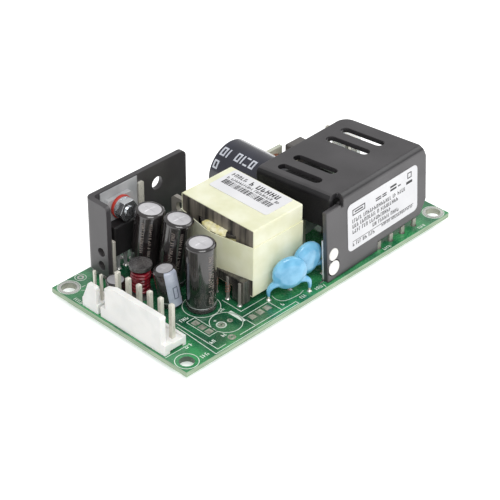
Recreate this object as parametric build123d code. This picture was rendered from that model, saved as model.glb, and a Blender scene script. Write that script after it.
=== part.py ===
from build123d import *
import math
import os

# Open-frame switching power supply, millimetres.
# Origin: centre of the mounting hole pattern, underside of the board.
# +X to the mains end, +Y to the back edge, +Z up.

# board
BOARD_L = 101.6
BOARD_W = 50.8
BOARD_T = 1.6
HOLE_DX = 95.25
HOLE_DY = 44.45
MOUNT_HOLE_D = 4.0
SIDES = 6
HOLE_CLEAR = 0.12
SOLDER_H = 1.6
SOLDER_RIM = 0.6

# pin headers
HEADER_PITCH = 3.96
HEADER_PIN = 1.14
HEADER_BASE_H = 3.2
HEADER_BASE_W = 7.4
HEADER_END = 2.05
HEADER_ROW = 4.6
WASH_PITCH = 3.6
WASH_GAP = 0.8
WASH_LAND = 1.9
RIM_W = 1.1
CHANNEL_H = 0.5
WALL_LOW = 1.25
WALL_HIGH = 1.85
HEADER_WALL_T = 1.7
HEADER_WALL_TOP = 12.6
HEADER_PIN_TOP = 14.6
HEADER_LIP = 0.6
LIP_H = 2.0
HEADER_BEVEL = 0.3
WALL_CUT = 0.5
OUT_PINS = 6
OUT_X = -50.3
OUT_Y = -5.15
OUT_CUT = (3.4, 1.2)
IN_POSITIONS = 3
IN_X = 50.3
IN_Y = 12.2
AUX_PITCH = 2.54
AUX_PIN = 0.64
AUX_X = -50.3
AUX_Y = 10.8
AUX_BASE_W = 5.8
AUX_BASE_H = 2.8
AUX_END = 1.7
AUX_WALL_T = 1.2
AUX_WALL_TOP = 9.8
AUX_ROW = 3.1
AUX_LOW = 0.5
AUX_HIGH = 0.4
AUX_CUT = (2.1, 5.0)
AUX_PIN_TOP = 12.0

# output heatsink
SINK_T = 1.6
SINK_X = -39.4
SINK_Y = 24.0
SINK_LONG = 34.8
SINK_SHORT = 8.4
SINK_BOTTOM = 3.6
SINK_TOP = 25.4
SINK_BEND_R = 1.9
SINK_TIP_R = 1.8
SINK_EDGE_R = 1.2
SINK_HOLE_X = -15.2
SINK_HOLE_Z = 19.4
SINK_HOLE_D = 3.8
TAB_T = 0.8
TAB_W = 4.6
TAB_TOP = 14.4
TAB_LEG = 1.6
TAB_INSET = 1.1
STRAP_X = -21.6
STRAP_W = 1.8
STRAP_T = 0.7
STRAP_LEG = 1.4
STRAP_TOP = 22.9
RIVET_HOLE_D = 2.5
RIVET_ZS = (6.5, 10.7)
RIVET_Y = 18.2

# screwed rectifier
PAD_T = 0.25
TO_W = 10.0
TO_BODY_H = 9.2
TO_BODY_T = 4.5
TO_TAB_T = 1.3
TO_TAB_H = 6.3
TO_HOLE_DROP = 2.9
TO_HOLE_D = 3.8
TO_PITCH = 2.54
TO_LEAD_W = 0.8
TO_LEAD_T = 0.5
TO_LEAD_BACK = 2.6
SCREW_X = -30.0
SCREW_Z = 19.7
SCREW_D = 3.0
WASHER_D = 6.6
WASHER_T = 0.8
LOCK_D = 6.2
LOCK_T = 0.6
NUT_AF = 5.5
NUT_T = 2.2
HEAD_D = 5.6
HEAD_T = 1.3
HEAD_SLOT = 2.8
HEAD_SLOT_W = 0.7
PAD_LEFT = 5.6
PAD_RIGHT = 7.3
PAD_X0 = SCREW_X - PAD_LEFT
PAD_X1 = SCREW_X + PAD_RIGHT
PAD_Z0 = 6.6
PAD_DROP = 0.3
# can capacitors: foot x, y, lean x, lean y over the height
CAN_D = 8.0
CAN_H = 19.6
CAN_PITCH = 3.5
CAN_A = (-28.8, 13.4, 1.2, -1.5)
CAN_B = (-27.1, 5.1, 1.6, -1.9)
CAN_C = (-28.9, -8.2, 0.0, 0.0)
SMALL_CAN_D = 6.3
SMALL_CAN_H = 10.6
SMALL_PITCH = 2.5
STRIPED = (-33.7, -2.0, -1.1, 1.2)
LOW_CAN = (-41.0, 11.2)
LOW_CAN_D = 5.3
LOW_CAN_H = 4.9
SLEEVE_T = 0.16
LEAD_D = 0.6

# drum inductor
DRUM_X = -36.3
DRUM_Y = 6.6
DRUM_D = 6.2
DRUM_H = 9.9
DRUM_RIM = 1.1
DRUM_TURNS = 4

# transformer
TR_X = -10.0
TR_FRONT = -16.9
TR_L = 18.0
TR_W = 25.7
TR_Y = TR_FRONT + TR_W / 2
TR_Z0 = 4.0
TR_Z1 = 24.0
TR_PLATE = 4.2
TR_WINDOW_R = 11.25
TR_POST_R = 6.0
TAPE_T = 0.25
BELT_Z0 = 9.2
BELT_Z1 = 19.2
RAIL_W = 2.6
RAIL_Z0 = 6.6
RAIL_INSET = 0.65
RAIL_FOOT_L = 4.0
RAIL_FOOT_Z = 2.4
TR_PIN = 0.7
TR_PINS = 6
TR_PIN_EDGE = 1.9
TR_PIN_PITCH = (TR_W - 2 * TR_PIN_EDGE) / (TR_PINS - 1)
STICKER_X = 3.6
STICKER_L = 10.2
STICKER_EDGE = 2.35
STICKER_W = TR_W - 2 * STICKER_EDGE

# transistor standing behind the transformer
STAND_X = -15.3
STAND_W = 7.6
STAND_TOP = 18.3
STAND_GAP = 0.8
STAND_Y = TR_FRONT + TR_W + STAND_GAP + STAND_W / 2

# bulk capacitor, lying
BULK_D = 17.0
BULK_L = 29.6
BULK_X = 14.9
BULK_Z = 10.12
BULK_END = 24.8
BULK_PITCH = 7.5

# disc capacitors: centre x, y, z, turn about Z in degrees
DISC_D = 9.7
DISC_T = 3.6
DISC_GAP = 4.0
REAR_GAP = 2.9
DISC_FRONT = (-9.4, TR_FRONT - DISC_GAP, 8.8, -24.6)
DISC_REAR = (-1.6, TR_FRONT - REAR_GAP, 9.0, -6.0)
DISC_SPREAD = 11.4

# primary cover
COV_T = 1.5
COV_X0 = 5.4
COV_X1 = 43.4
TOP_X1 = COV_X1 - 1.3
TOP_SLOPE = 3.4
COV_EAR_X = 1.6
COV_Y0 = -24.6
COV_LEN = 27.8
COV_TOP = 25.3
COV_EAR_TOP = 22.7
COV_SIDE_Z = 15.2
COV_BEND_R = 1.8
COV_LEAN = 4.0
COV_TURN = 2.0
SLOT_W = 2.9
SLOT_L = COV_LEN * 0.525
SLOT_XS = (10.2, 16.4, 29.9, 36.1)
SLOT_Y = COV_Y0 + COV_LEN * 0.59
NOTCH_X = 8.4
SIDE_Y0 = -22.4
FOOT_X = 22.4
FOOT_Z = 4.4
CORNER_W = 2.6
CORNER_H = 4.0
TOP_CORNER_R = 3.2
EAR_HOLE_X = 4.1
EAR_HOLES = ((9.3, 3.6), (5.2, 4.3))
POST_CLEAR = 0.05
LABEL_T = 0.15
LABEL_L = 29.4
LABEL_H = 14.2
LABEL_X = 24.6
LABEL_Z = 14.0
FOOT_TAB_TOP = 13.6
FOOT_TAB_W = 5.6
FOOT_TAB_LEG = 1.6
FOOT_CLEAR = 0.06

# parts behind the cover
BRIDGE_X = 32.2
BRIDGE_W = 20.0
BRIDGE_H = 15.0
BRIDGE_T = 3.5
BRIDGE_PITCH = 5.08
BRIDGE_LIFT = 1.8
BRIDGE_CUT = 2.4
BRIDGE_LEAD_W = 1.3
BRIDGE_LEAD_T = 0.6
BRIDGE_LEAD_Y = 1.4
BRIDGE_STEP = 2.0
BRIDGE_STEP_X = 0.9
SWITCH_X = 13.2
SWITCH_Y = -21.0
SWITCH_TOP = 20.6
CHOKE_X = 27.9
CHOKE_Y = 14.8
CHOKE_W = 6.6
CHOKE_L = 13.6
CHOKE_H = 10.6
CHOKE_WALL = 1.2
CHOKE_AXIS_Z = BOARD_T + 5.9
CHOKE_CORE_D = 4.0
CHOKE_COIL_D = 6.4
BOX_X = 35.1
BOX_Y = 13.5
BOX_W = 6.2
BOX_L = 13.0
BOX_H = 11.2
BOX_R = 0.5
FUSE_X = 34.6
FUSE_Y = -9.8
FUSE_D = 8.4
FUSE_H = 7.6
FUSE_LIFT = 0.4
THERM_X = 27.2
THERM_Y = -9.6
THERM_LIFT = 7.0
THERM_Z = BOARD_T + THERM_LIFT
THERM_D = 9.2
THERM_T = 3.4
THERM_PITCH = 5.0
RADIAL_PITCH = 5.08
LEAD_SINK = 1.0

# parts under the board
CHIP_L = 3.2
CHIP_W = 1.6
CHIP_T = 0.7
DRIVER_L = 4.9
DRIVER_W = 3.9
DRIVER_T = 1.5
DRIVER_AT = (15.0, -14.0)
CHIPS = ((-33, -14, 0), (-29, -19, 90), (-20, 14, 0), (-8, 16, 90), (4, -12, 0),
         (10, 8, 90), (24, -2, 0), (33, 4, 90), (-40, -3, 90), (-2, -2, 0))

NEAR = 0.05
drills = []
joints = []


def block(x0, x1, y0, y1, z0, z1):
    size = Box(x1 - x0, y1 - y0, z1 - z0)
    return Pos((x0 + x1) / 2, (y0 + y1) / 2, (z0 + z1) / 2) * size


def rod(r, x, y, z0, z1):
    return Pos(x, y, (z0 + z1) / 2) * Cylinder(r, z1 - z0)


def rod_y(r, x, z, y0, y1):
    turned = Rot(90, 0, 0) * Cylinder(r, y1 - y0)
    return Pos(x, (y0 + y1) / 2, z) * turned


def rod_x(r, y, z, x0, x1):
    turned = Rot(0, 90, 0) * Cylinder(r, x1 - x0)
    return Pos((x0 + x1) / 2, y, z) * turned


def group(solids):
    flat = []
    for item in solids:
        flat.extend(item.solids())
    return Compound(children=flat)


def wire(r, x, y, z0, z1):
    # thin wire as a six-sided bar
    return Pos(x, y, z0) * extrude(RegularPolygon(r, SIDES), z1 - z0)


def plug(x, y, r):
    # a lead in the board gets its drilled hole, and its solder joint below
    drills.append((x, y, (r + HOLE_CLEAR) / math.cos(math.pi / SIDES)))
    foot = Plane.XY * RegularPolygon(r + SOLDER_RIM, SIDES)
    tip = Plane.XY.offset(-SOLDER_H) * RegularPolygon(r * 0.6 + 0.1, SIDES)
    joints.append(Pos(x, y, 0) * loft([foot, tip]))


def round_lead(x, y, top, d=LEAD_D):
    plug(x, y, d / 2)
    return wire(d / 2, x, y, 0, top)


def flat_lead(x, y, wx, wy, top):
    plug(x, y, (wx * wx + wy * wy) ** 0.5 / 2)
    return block(x - wx / 2, x + wx / 2, y - wy / 2, y + wy / 2, 0, top)


def board():
    body = block(-BOARD_L / 2, BOARD_L / 2, -BOARD_W / 2, BOARD_W / 2, 0, BOARD_T)
    cuts = []
    for sx in (-1, 1):
        for sy in (-1, 1):
            at = (sx * HOLE_DX / 2, sy * HOLE_DY / 2)
            cuts.append(rod(MOUNT_HOLE_D / 2, at[0], at[1], -1, BOARD_T + 1))
    for x, y, r in drills:
        cuts.append(wire(r, x, y, -1, BOARD_T + 1))
    return body.cut(*cuts)


def pin_row(x, ys, width, top):
    pins = []
    for y in ys:
        pin = flat_lead(x, y, width, width, top)
        tips = pin.edges().group_by(Axis.Z)[-1]
        pins.append(chamfer(tips, width * 0.28))
    return pins


def header(spot, side, half, base, wall):
    # side is +1 when the housing reaches towards +X from its wall
    x_wall, y_mid = spot
    base_w, base_h = base
    y_low, y_high, wall_t, wall_top, cut = wall
    cut_w, cut_h = cut
    z0 = BOARD_T
    z1 = z0 + base_h
    xs = sorted((x_wall, x_wall + side * base_w))
    body = block(xs[0], xs[1], y_mid - half, y_mid + half, z0, z1)
    inner_edge = body.edges().filter_by(Axis.Y).group_by(Axis.Z)[-1]
    body = chamfer(inner_edge.sort_by(Axis.X)[-1 if side > 0 else 0], HEADER_BEVEL)
    # washing gaps under the inner side and both ends
    gap_top = z0 + WASH_GAP
    gaps = int(2 * half / WASH_PITCH)
    xs = sorted((x_wall + side * base_w * 0.45, x_wall + side * (base_w + 1)))
    for k in range(gaps):
        y = y_mid + (k - (gaps - 1) / 2) * WASH_PITCH
        body -= block(xs[0], xs[1], y - WASH_PITCH / 4, y + WASH_PITCH / 4, z0 - 1, gap_top)
    xs = sorted((x_wall + side * WASH_LAND, x_wall + side * (base_w - RIM_W)))
    for y in (y_mid - half, y_mid + half):
        body -= block(xs[0], xs[1], y - RIM_W, y + RIM_W, z0 - 1, gap_top)
    # a shallow channel along the pins
    xs = sorted((x_wall + side * (wall_t + RIM_W), x_wall + side * (base_w - RIM_W)))
    body -= block(xs[0], xs[1], y_mid - half - 1, y_mid + half + 1, z1 - CHANNEL_H, z1 + 1)
    outline = Polyline((y_low, z1 - 1), (y_high, z1 - 1), (y_high, wall_top - cut_h),
                       (y_high - cut_w, wall_top), (y_low + WALL_CUT, wall_top),
                       (y_low, wall_top - WALL_CUT), close=True)
    plate = extrude(Plane.YZ * make_face(outline), wall_t * side)
    ramp = Polyline((0, wall_top - LIP_H), (side * HEADER_LIP, wall_top - LIP_H * 0.65),
                    (side * HEADER_LIP, wall_top - LIP_H * 0.35), (0, wall_top), close=True)
    lip_at = x_wall + side * wall_t
    lip_len = (y_high - cut_w - y_low) * 0.9
    lip = extrude(Plane.XZ * make_face(ramp), lip_len)
    lip = Pos(lip_at, y_mid + y_low + WALL_CUT + lip_len, 0) * lip
    return body + Pos(x_wall, y_mid, 0) * plate + lip


def socket(body, x, ys, width):
    for y in ys:
        h = width / 2
        body -= block(x - h, x + h, y - h, y + h, 0, HEADER_PIN_TOP)
    return body


def output_header():
    pin_x = OUT_X + HEADER_ROW
    half = (OUT_PINS - 1) * HEADER_PITCH / 2 + HEADER_END
    ys = [OUT_Y + (k - (OUT_PINS - 1) / 2) * HEADER_PITCH for k in range(OUT_PINS)]
    pins = pin_row(pin_x, ys, HEADER_PIN, HEADER_PIN_TOP)
    wall = (WALL_LOW - half, half - WALL_HIGH, HEADER_WALL_T, HEADER_WALL_TOP, OUT_CUT)
    body = header((OUT_X, OUT_Y), 1, half, (HEADER_BASE_W, HEADER_BASE_H), wall)
    return socket(body, pin_x, ys, HEADER_PIN), group(pins)


def inlet_header():
    pin_x = IN_X - HEADER_ROW
    half = (IN_POSITIONS - 1) * HEADER_PITCH / 2 + HEADER_END
    ys = [IN_Y - HEADER_PITCH, IN_Y + HEADER_PITCH]
    pins = pin_row(pin_x, ys, HEADER_PIN, HEADER_PIN_TOP)
    wall = (WALL_LOW - half, half - WALL_LOW, HEADER_WALL_T, HEADER_WALL_TOP, (WALL_CUT, WALL_CUT))
    body = header((IN_X, IN_Y), -1, half, (HEADER_BASE_W, HEADER_BASE_H), wall)
    return socket(body, pin_x, ys, HEADER_PIN), group(pins)


def auxiliary_header():
    pin_x = AUX_X + AUX_ROW
    half = AUX_PITCH / 2 + AUX_END
    ys = [AUX_Y - AUX_PITCH / 2, AUX_Y + AUX_PITCH / 2]
    pins = pin_row(pin_x, ys, AUX_PIN, AUX_PIN_TOP)
    wall = (AUX_LOW - half, half - AUX_HIGH, AUX_WALL_T, AUX_WALL_TOP, AUX_CUT)
    body = header((AUX_X, AUX_Y), 1, half, (AUX_BASE_W, AUX_BASE_H), wall)
    return socket(body, pin_x, ys, AUX_PIN), group(pins)


def at_xy(x, y):
    def test(edge):
        mid = edge.center()
        return abs(mid.X - x) < NEAR and abs(mid.Y - y) < NEAR
    return test


def output_heatsink():
    x1 = SINK_X + SINK_LONG
    y0 = SINK_Y - SINK_SHORT
    ix = SINK_X + SINK_T
    iy = SINK_Y - SINK_T
    outer = block(SINK_X, x1, y0, SINK_Y, SINK_BOTTOM, SINK_TOP)
    inner = block(ix, x1 + 1, y0 - 1, iy, 0, SINK_TOP + 1)
    sheet = outer - inner
    bend = sheet.edges().filter_by(Axis.Z).filter_by(at_xy(SINK_X, SINK_Y))
    sheet = fillet(bend, SINK_BEND_R)
    bend = sheet.edges().filter_by(Axis.Z).filter_by(at_xy(ix, iy))
    sheet = fillet(bend, SINK_BEND_R - SINK_T + 0.4)
    right = sheet.faces().sort_by(Axis.X)[-1]
    sheet = fillet(right.edges().filter_by(Axis.Y).group_by(Axis.Z)[-1], SINK_TIP_R)
    front = sheet.faces().sort_by(Axis.Y)[0]
    sheet = fillet(front.edges().filter_by(Axis.X).group_by(Axis.Z)[-1], SINK_EDGE_R)
    through = (SINK_Y - SINK_T - 1, SINK_Y + 1)
    cuts = [rod_y(SINK_HOLE_D / 2, SINK_HOLE_X, SINK_HOLE_Z, *through)]
    cuts.append(rod_y(SCREW_D / 2, SCREW_X, SCREW_Z, *through))
    for z in RIVET_ZS:
        cuts.append(rod_x(RIVET_HOLE_D / 2, RIVET_Y, z, SINK_X - 1, ix + 1))
    return sheet.cut(*cuts)


def heatsink_tab():
    # stands inside the short leg, behind its two holes
    x = SINK_X + SINK_T
    y0 = RIVET_Y - TAB_W / 2 - 0.7
    y1 = y0 + TAB_W
    plate = block(x, x + TAB_T, y0, y1, BOARD_T, TAB_TOP)
    for y in (y0 + TAB_INSET, y1 - TAB_INSET):
        plate += flat_lead(x + TAB_T / 2, y, TAB_T, TAB_LEG, BOARD_T)
    return plate


def insulating_pad():
    y1 = SINK_Y - SINK_T
    pad = block(PAD_X0, PAD_X1, y1 - PAD_T, y1, PAD_Z0, SINK_TOP - PAD_DROP)
    return pad - rod_y(SCREW_D / 2, SCREW_X, SCREW_Z, y1 - 1, y1 + 1)


def package(x, y, turn, tab_top, width=TO_W):
    # a moulded power package, its metal back on the plane through x, y
    place = Pos(x, y, 0) * Rot(0, 0, turn)
    z_body = tab_top - TO_TAB_H
    z0 = z_body - TO_BODY_H
    half = width / 2
    body = block(-half, half, -TO_BODY_T, 0, z0, z_body)
    body = chamfer(body.faces().sort_by(Axis.Y)[0].edges(), 0.35)
    plate = block(0.2 - half, half - 0.2, -TO_TAB_T, 0, z0 + 1, tab_top)
    corners = plate.edges().filter_by(Axis.Y).group_by(Axis.Z)[-1]
    plate = chamfer(corners, 0.9)
    plate -= rod_y(TO_HOLE_D / 2, 0, tab_top - TO_HOLE_DROP, -3, 1)
    y_lead = -TO_LEAD_BACK
    t = TO_LEAD_T / 2
    z_wide = max(z0 - 2.4, BOARD_T + 0.3)
    leads = []
    for k in (-1, 0, 1):
        a = k * TO_PITCH
        w = TO_LEAD_W / 2
        lead = block(a - w, a + w, y_lead - t, y_lead + t, 0, z0 + 1.2)
        at = (place * Pos(a, y_lead, 0)).position
        plug(at.X, at.Y, (w * w + t * t) ** 0.5)
        leads.append(lead + block(a - 0.65, a + 0.65, y_lead - t, y_lead + t,
                                  z_wide, z0 + 1.2))
    link = block(-0.65, 0.65, y_lead - t, -TO_TAB_T, z0 + 1.0, z0 + 1.6)
    frame = plate + leads[1] + link
    body = body - frame - leads[0] - leads[2]
    metal = group([place * frame, place * leads[0], place * leads[2]])
    return place * body, metal


def fastening():
    back = SINK_Y - SINK_T - PAD_T
    front = back - TO_TAB_T
    collar = rod_y(TO_HOLE_D / 2, SCREW_X, SCREW_Z, front, back - 0.1)
    flange = rod_y(WASHER_D / 2, SCREW_X, SCREW_Z, front - WASHER_T, front)
    bore = rod_y(SCREW_D / 2, SCREW_X, SCREW_Z, front - NUT_T - WASHER_D, back + 1)
    shoulder = collar + flange - bore
    y = front - WASHER_T
    lock = rod_y(LOCK_D / 2, SCREW_X, SCREW_Z, y - LOCK_T, y) - bore
    y -= LOCK_T
    hexagon = Plane.XZ * RegularPolygon(NUT_AF / 2, 6, major_radius=False)
    nut = Pos(SCREW_X, y, SCREW_Z) * extrude(hexagon, NUT_T)
    nut = nut - bore
    end = y - NUT_T - 0.4
    screw = rod_y(SCREW_D / 2, SCREW_X, SCREW_Z, end, SINK_Y)
    head = rod_y(HEAD_D / 2, SCREW_X, SCREW_Z, SINK_Y, SINK_Y + HEAD_T)
    head = chamfer(head.edges().sort_by(Axis.Y)[-1], 0.45)
    bar = Box(HEAD_SLOT, HEAD_T, HEAD_SLOT_W)
    cross = Pos(SCREW_X, SINK_Y + HEAD_T, SCREW_Z) * (bar + Rot(0, 90, 0) * bar)
    return shoulder, lock, nut, screw + (head - cross)


def ground_strap():
    y1 = SINK_Y - SINK_T
    half = STRAP_W / 2
    upright = block(STRAP_X - half, STRAP_X + half, y1 - STRAP_T, y1, BOARD_T, STRAP_TOP)
    top = upright.faces().sort_by(Axis.Z)[-1].edges().filter_by(Axis.Y)
    upright = fillet(top, half * 0.6)
    return upright + flat_lead(STRAP_X, y1 - STRAP_T / 2, STRAP_LEG, STRAP_T, BOARD_T)


def lean_place(spec, d, h):
    # the foot plane, lifted so that a leaning can clears the board
    x, y, dx, dy = spec
    tilt = (dx * dx + dy * dy) ** 0.5 / h
    z_dir = Vector(dx, dy, h).normalized()
    side = z_dir.cross(Vector(1, 0, 0)).normalized()
    plane = Plane(origin=(x, y, BOARD_T + 0.15 + tilt * d / 2),
                  x_dir=side.cross(z_dir), z_dir=z_dir)
    return plane.location


def can_and_sleeve(d, h, roll):
    # a scored can whose rolled top edge is wrapped by its sleeve
    t = SLEEVE_T
    r = d / 2 - t
    side = Polyline((0, 0), (r, 0), (r, h - roll * 0.7), (r - roll * 0.7, h), (0, h),
                    close=True)
    can = revolve(Plane.XZ * make_face(side), Axis.Z)
    score = Box(d * 0.5, 0.22, 0.3)
    can -= Pos(0, 0, h) * (score + Rot(0, 0, 90) * score)
    lip = r - roll
    wrap = Polyline((r, t), (r + t, t), (r + t, h - roll * 0.6), (r - roll * 0.6, h + t),
                    (lip, h + t), (lip, h), (r - roll * 0.7, h), (r, h - roll * 0.7),
                    close=True)
    sleeve = revolve(Plane.XZ * make_face(wrap), Axis.Z)
    return can, sleeve


def can_capacitor(spec, d, h):
    can, sleeve = can_and_sleeve(d, h, 0.8)
    place = lean_place(spec, d, h)
    return place * can, place * sleeve


def can_leads(spot, pitch, under=None):
    out = []
    for s in (-1, 1):
        top = BOARD_T if under is None else BOARD_T + 1.4
        lead = round_lead(spot[0], spot[1] + s * pitch / 2, top)
        if under is not None:
            lead = (lead - under).solids().sort_by(Axis.Z)[0]
        out.append(lead)
    return out


def low_capacitor():
    x, y = LOW_CAN
    r = LOW_CAN_D / 2
    z = BOARD_T
    h = LOW_CAN_H
    profile = Polyline((0, 0), (r, 0), (r, 0.8), (r - 0.4, 1.2), (r, 1.6),
                       (r, h - 0.4), (r - 0.4, h), (0, h), close=True)
    can = revolve(Plane.XZ * make_face(profile), Axis.Z)
    return Pos(x, y, z) * can


def drum_inductor():
    r = DRUM_D / 2
    neck = r * 0.45
    h = DRUM_H
    rim = DRUM_RIM
    profile = Polyline((0, 0), (r, 0), (r, rim), (neck, rim), (neck, h - rim),
                       (r, h - rim), (r, h), (0, h), close=True)
    core = revolve(Plane.XZ * make_face(profile), Axis.Z)
    step = (h - 2 * rim) / DRUM_TURNS
    pts = [(neck, rim), (r - 0.7, rim)]
    for k in range(DRUM_TURNS):
        z = rim + k * step
        pts.append((r - 0.35, z + step * 0.5))
        pts.append((r - 0.7, z + step))
    pts.append((neck, h - rim))
    coil = revolve(Plane.XZ * make_face(Polyline(pts, close=True)), Axis.Z)
    place = Pos(DRUM_X, DRUM_Y, BOARD_T)
    return place * core, place * coil


def transformer_core():
    z0, z1 = TR_Z0, TR_Z1
    x0, x1 = TR_X - TR_L / 2, TR_X + TR_L / 2
    y0, y1 = TR_Y - TR_W / 2, TR_Y + TR_W / 2
    whole = block(x0, x1, y0, y1, z0, z1)
    whole -= rod(TR_WINDOW_R, TR_X, TR_Y, z0 + TR_PLATE, z1 - TR_PLATE)
    whole += rod(TR_POST_R, TR_X, TR_Y, z0 + TR_PLATE, z1 - TR_PLATE)
    mid = (z0 + z1) / 2
    lower = whole & block(x0 - 1, x1 + 1, y0 - 1, y1 + 1, z0 - 1, mid)
    upper = whole & block(x0 - 1, x1 + 1, y0 - 1, y1 + 1, mid, z1 + 1)
    return upper, lower


def transformer_bobbin():
    z0 = TR_Z0 + TR_PLATE
    z1 = TR_Z1 - TR_PLATE
    r = TR_WINDOW_R - 0.25
    body = rod(TR_POST_R + 1.2, TR_X, TR_Y, z0, z1)
    body += rod(r, TR_X, TR_Y, z0, z0 + 1)
    body += rod(r, TR_X, TR_Y, z1 - 1, z1)
    reach = TR_L / 2 + 0.1
    half = TR_W / 2 - RAIL_INSET
    for s in (-1, 1):
        a = TR_X + s * (TR_POST_R + 2)
        b = TR_X + s * (reach + RAIL_W)
        body += block(min(a, b), max(a, b), TR_Y - half / 2, TR_Y + half / 2, z0, z0 + 1)
        c = TR_X + s * reach
        body += block(min(b, c), max(b, c), TR_Y - half, TR_Y + half, RAIL_Z0, z0 + 1)
        for y in (TR_Y - half, TR_Y + half - RAIL_FOOT_L):
            body += block(min(b, c), max(b, c), y, y + RAIL_FOOT_L, RAIL_FOOT_Z, z0)
    body -= rod(TR_POST_R, TR_X, TR_Y, z0 - 1, z1 + 1)
    pins = []
    for s in (-1, 1):
        x = TR_X + s * (reach + RAIL_W)
        for k in range(TR_PINS):
            y = TR_Y + (k - (TR_PINS - 1) / 2) * TR_PIN_PITCH
            pins.append(flat_lead(x, y, TR_PIN, TR_PIN, RAIL_Z0 + 2.0))
    body = body.cut(*pins)
    return body, group(pins)


def transformer_winding():
    z0 = TR_Z0 + TR_PLATE + 1
    z1 = TR_Z1 - TR_PLATE - 1
    coil = rod(TR_WINDOW_R - 0.6, TR_X, TR_Y, z0, z1)
    return coil - rod(TR_POST_R + 1.2, TR_X, TR_Y, z0 - 1, z1 + 1)


def core_tape():
    x0, x1 = TR_X - TR_L / 2, TR_X + TR_L / 2
    y0, y1 = TR_Y - TR_W / 2, TR_Y + TR_W / 2
    t = TAPE_T
    outer = block(x0, x1, y0 - t, y1 + t, TR_Z0 - t, TR_Z1 + t)
    outer = fillet(outer.edges().filter_by(Axis.X), t * 1.6)
    return outer - block(x0 - 1, x1 + 1, y0, y1, TR_Z0, TR_Z1)


def belt_outline(grow):
    w = TR_L / 2 + 0.02
    h = TR_W / 2 + TAPE_T
    box = Rectangle(2 * w, 2 * h)
    bulge = Circle(TR_WINDOW_R + 0.1) & Rectangle(2 * TR_WINDOW_R + 2, 2 * h)
    hull = make_hull(box.edges() + bulge.edges())
    if grow > 0:
        hull = offset(hull, grow, kind=Kind.ARC)
    return hull


def belt_tape():
    height = BELT_Z1 - BELT_Z0
    ring = extrude(belt_outline(TAPE_T), height) - extrude(belt_outline(0), height)
    return Pos(TR_X, TR_Y, BELT_Z0) * ring


def transformer_label():
    z = TR_Z1 + TAPE_T
    sticker = Box(STICKER_L, STICKER_W, LABEL_T)
    sticker = fillet(sticker.edges().filter_by(Axis.Z), STICKER_L * 0.08)
    return Pos(TR_X + STICKER_X, TR_Y + 0.3, z + LABEL_T / 2) * sticker


def bulk_capacitor():
    h = BULK_L
    can, sleeve = can_and_sleeve(BULK_D, h, 1.5)
    place = Pos(BULK_X, BULK_END - h, BULK_Z) * Rot(-90, 0, 0)
    leads = []
    for s in (-1, 1):
        x = BULK_X + s * BULK_PITCH / 2
        y = BULK_END - h
        run = [(x, y, BULK_Z), (x, y - 2.2, BULK_Z), (x, y - 2.2, BOARD_T)]
        path = Polyline(*run)
        start = Plane(origin=run[0], z_dir=(0, -1, 0), x_dir=(1, 0, 0))
        bent = sweep(start * RegularPolygon(0.4, SIDES), path=path,
                     transition=Transition.RIGHT)
        leads.append(bent + round_lead(x, y - 2.2, BOARD_T + 0.5, 0.8))
    return place * can, place * sleeve, leads


def disc_capacitor(spec):
    # a dipped disc whose coating runs down both legs
    x, y, z, turn = spec
    r = DISC_D / 2
    t = DISC_T / 2
    outline = Polyline((0, -t), (r * 0.62, -t * 0.9), (r, -t * 0.3), (r, t * 0.3),
                       (r * 0.62, t * 0.9), (0, t), close=True)
    disc = revolve(Plane.XZ * make_face(outline), Axis.Z)
    coat = Rot(90, 0, 0) * disc
    half = DISC_SPREAD / 2
    foot_z = BOARD_T + 1.0 - z
    for s in (-1, 1):
        root = Vector(s * r * 0.62, 0, -r * 0.55)
        knee = Vector(s * half * 0.96, 0, foot_z + 2.4)
        foot = Vector(s * half, 0, foot_z)
        rings = []
        for spot, out, size in ((root, knee - root, 1.25), (knee, foot - root, 0.85),
                                (foot, foot - knee, 0.55)):
            ring = Plane(origin=spot, z_dir=out, x_dir=(0, 1, 0))
            rings.append(ring * RegularPolygon(size, SIDES))
        coat += loft(rings)
    place = Pos(x, y, z) * Rot(0, 0, turn)
    arm = Vector(half, 0, 0).rotate(Axis.Z, turn)
    leads = []
    for s in (-1, 1):
        leads.append(round_lead(x + s * arm.X, y + s * arm.Y, BOARD_T + 1.0))
    return place * coat, leads


def lean_cover(shape):
    pivot = Pos(COV_EAR_X, COV_Y0 + COV_T, BOARD_T)
    back = Pos(-COV_EAR_X, -COV_Y0 - COV_T, -BOARD_T)
    return pivot * Rot(0, 0, COV_TURN) * Rot(-COV_LEAN, 0, 0) * back * shape


def bent_sheet(x0, x1, y0, y1, z0, z1, along):
    # an L of sheet: its wall faces -Y when the bend runs along X, else -X
    t = COV_T
    sheet = block(x0, x1, y0, y1, z0, z1)
    if along == Axis.X:
        sheet -= block(x0 - 1, x1 + 1, y0 + t, y1 + 1, z0 - 1, z1 - t)
        across = Axis.Y
    else:
        sheet -= block(x0 + t, x1 + 1, y0 - 1, y1 + 1, z0 - 1, z1 - t)
        across = Axis.X
    outer = sheet.edges().filter_by(along).group_by(Axis.Z)[-1].sort_by(across)[0]
    sheet = fillet(outer, COV_BEND_R)
    below = sheet.edges().filter_by(along).filter_by_position(Axis.Z, z0, z1 - t)
    inner = below.group_by(Axis.Z)[-1].sort_by(across)[0]
    return fillet(inner, COV_BEND_R - t + 0.3)


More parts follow.
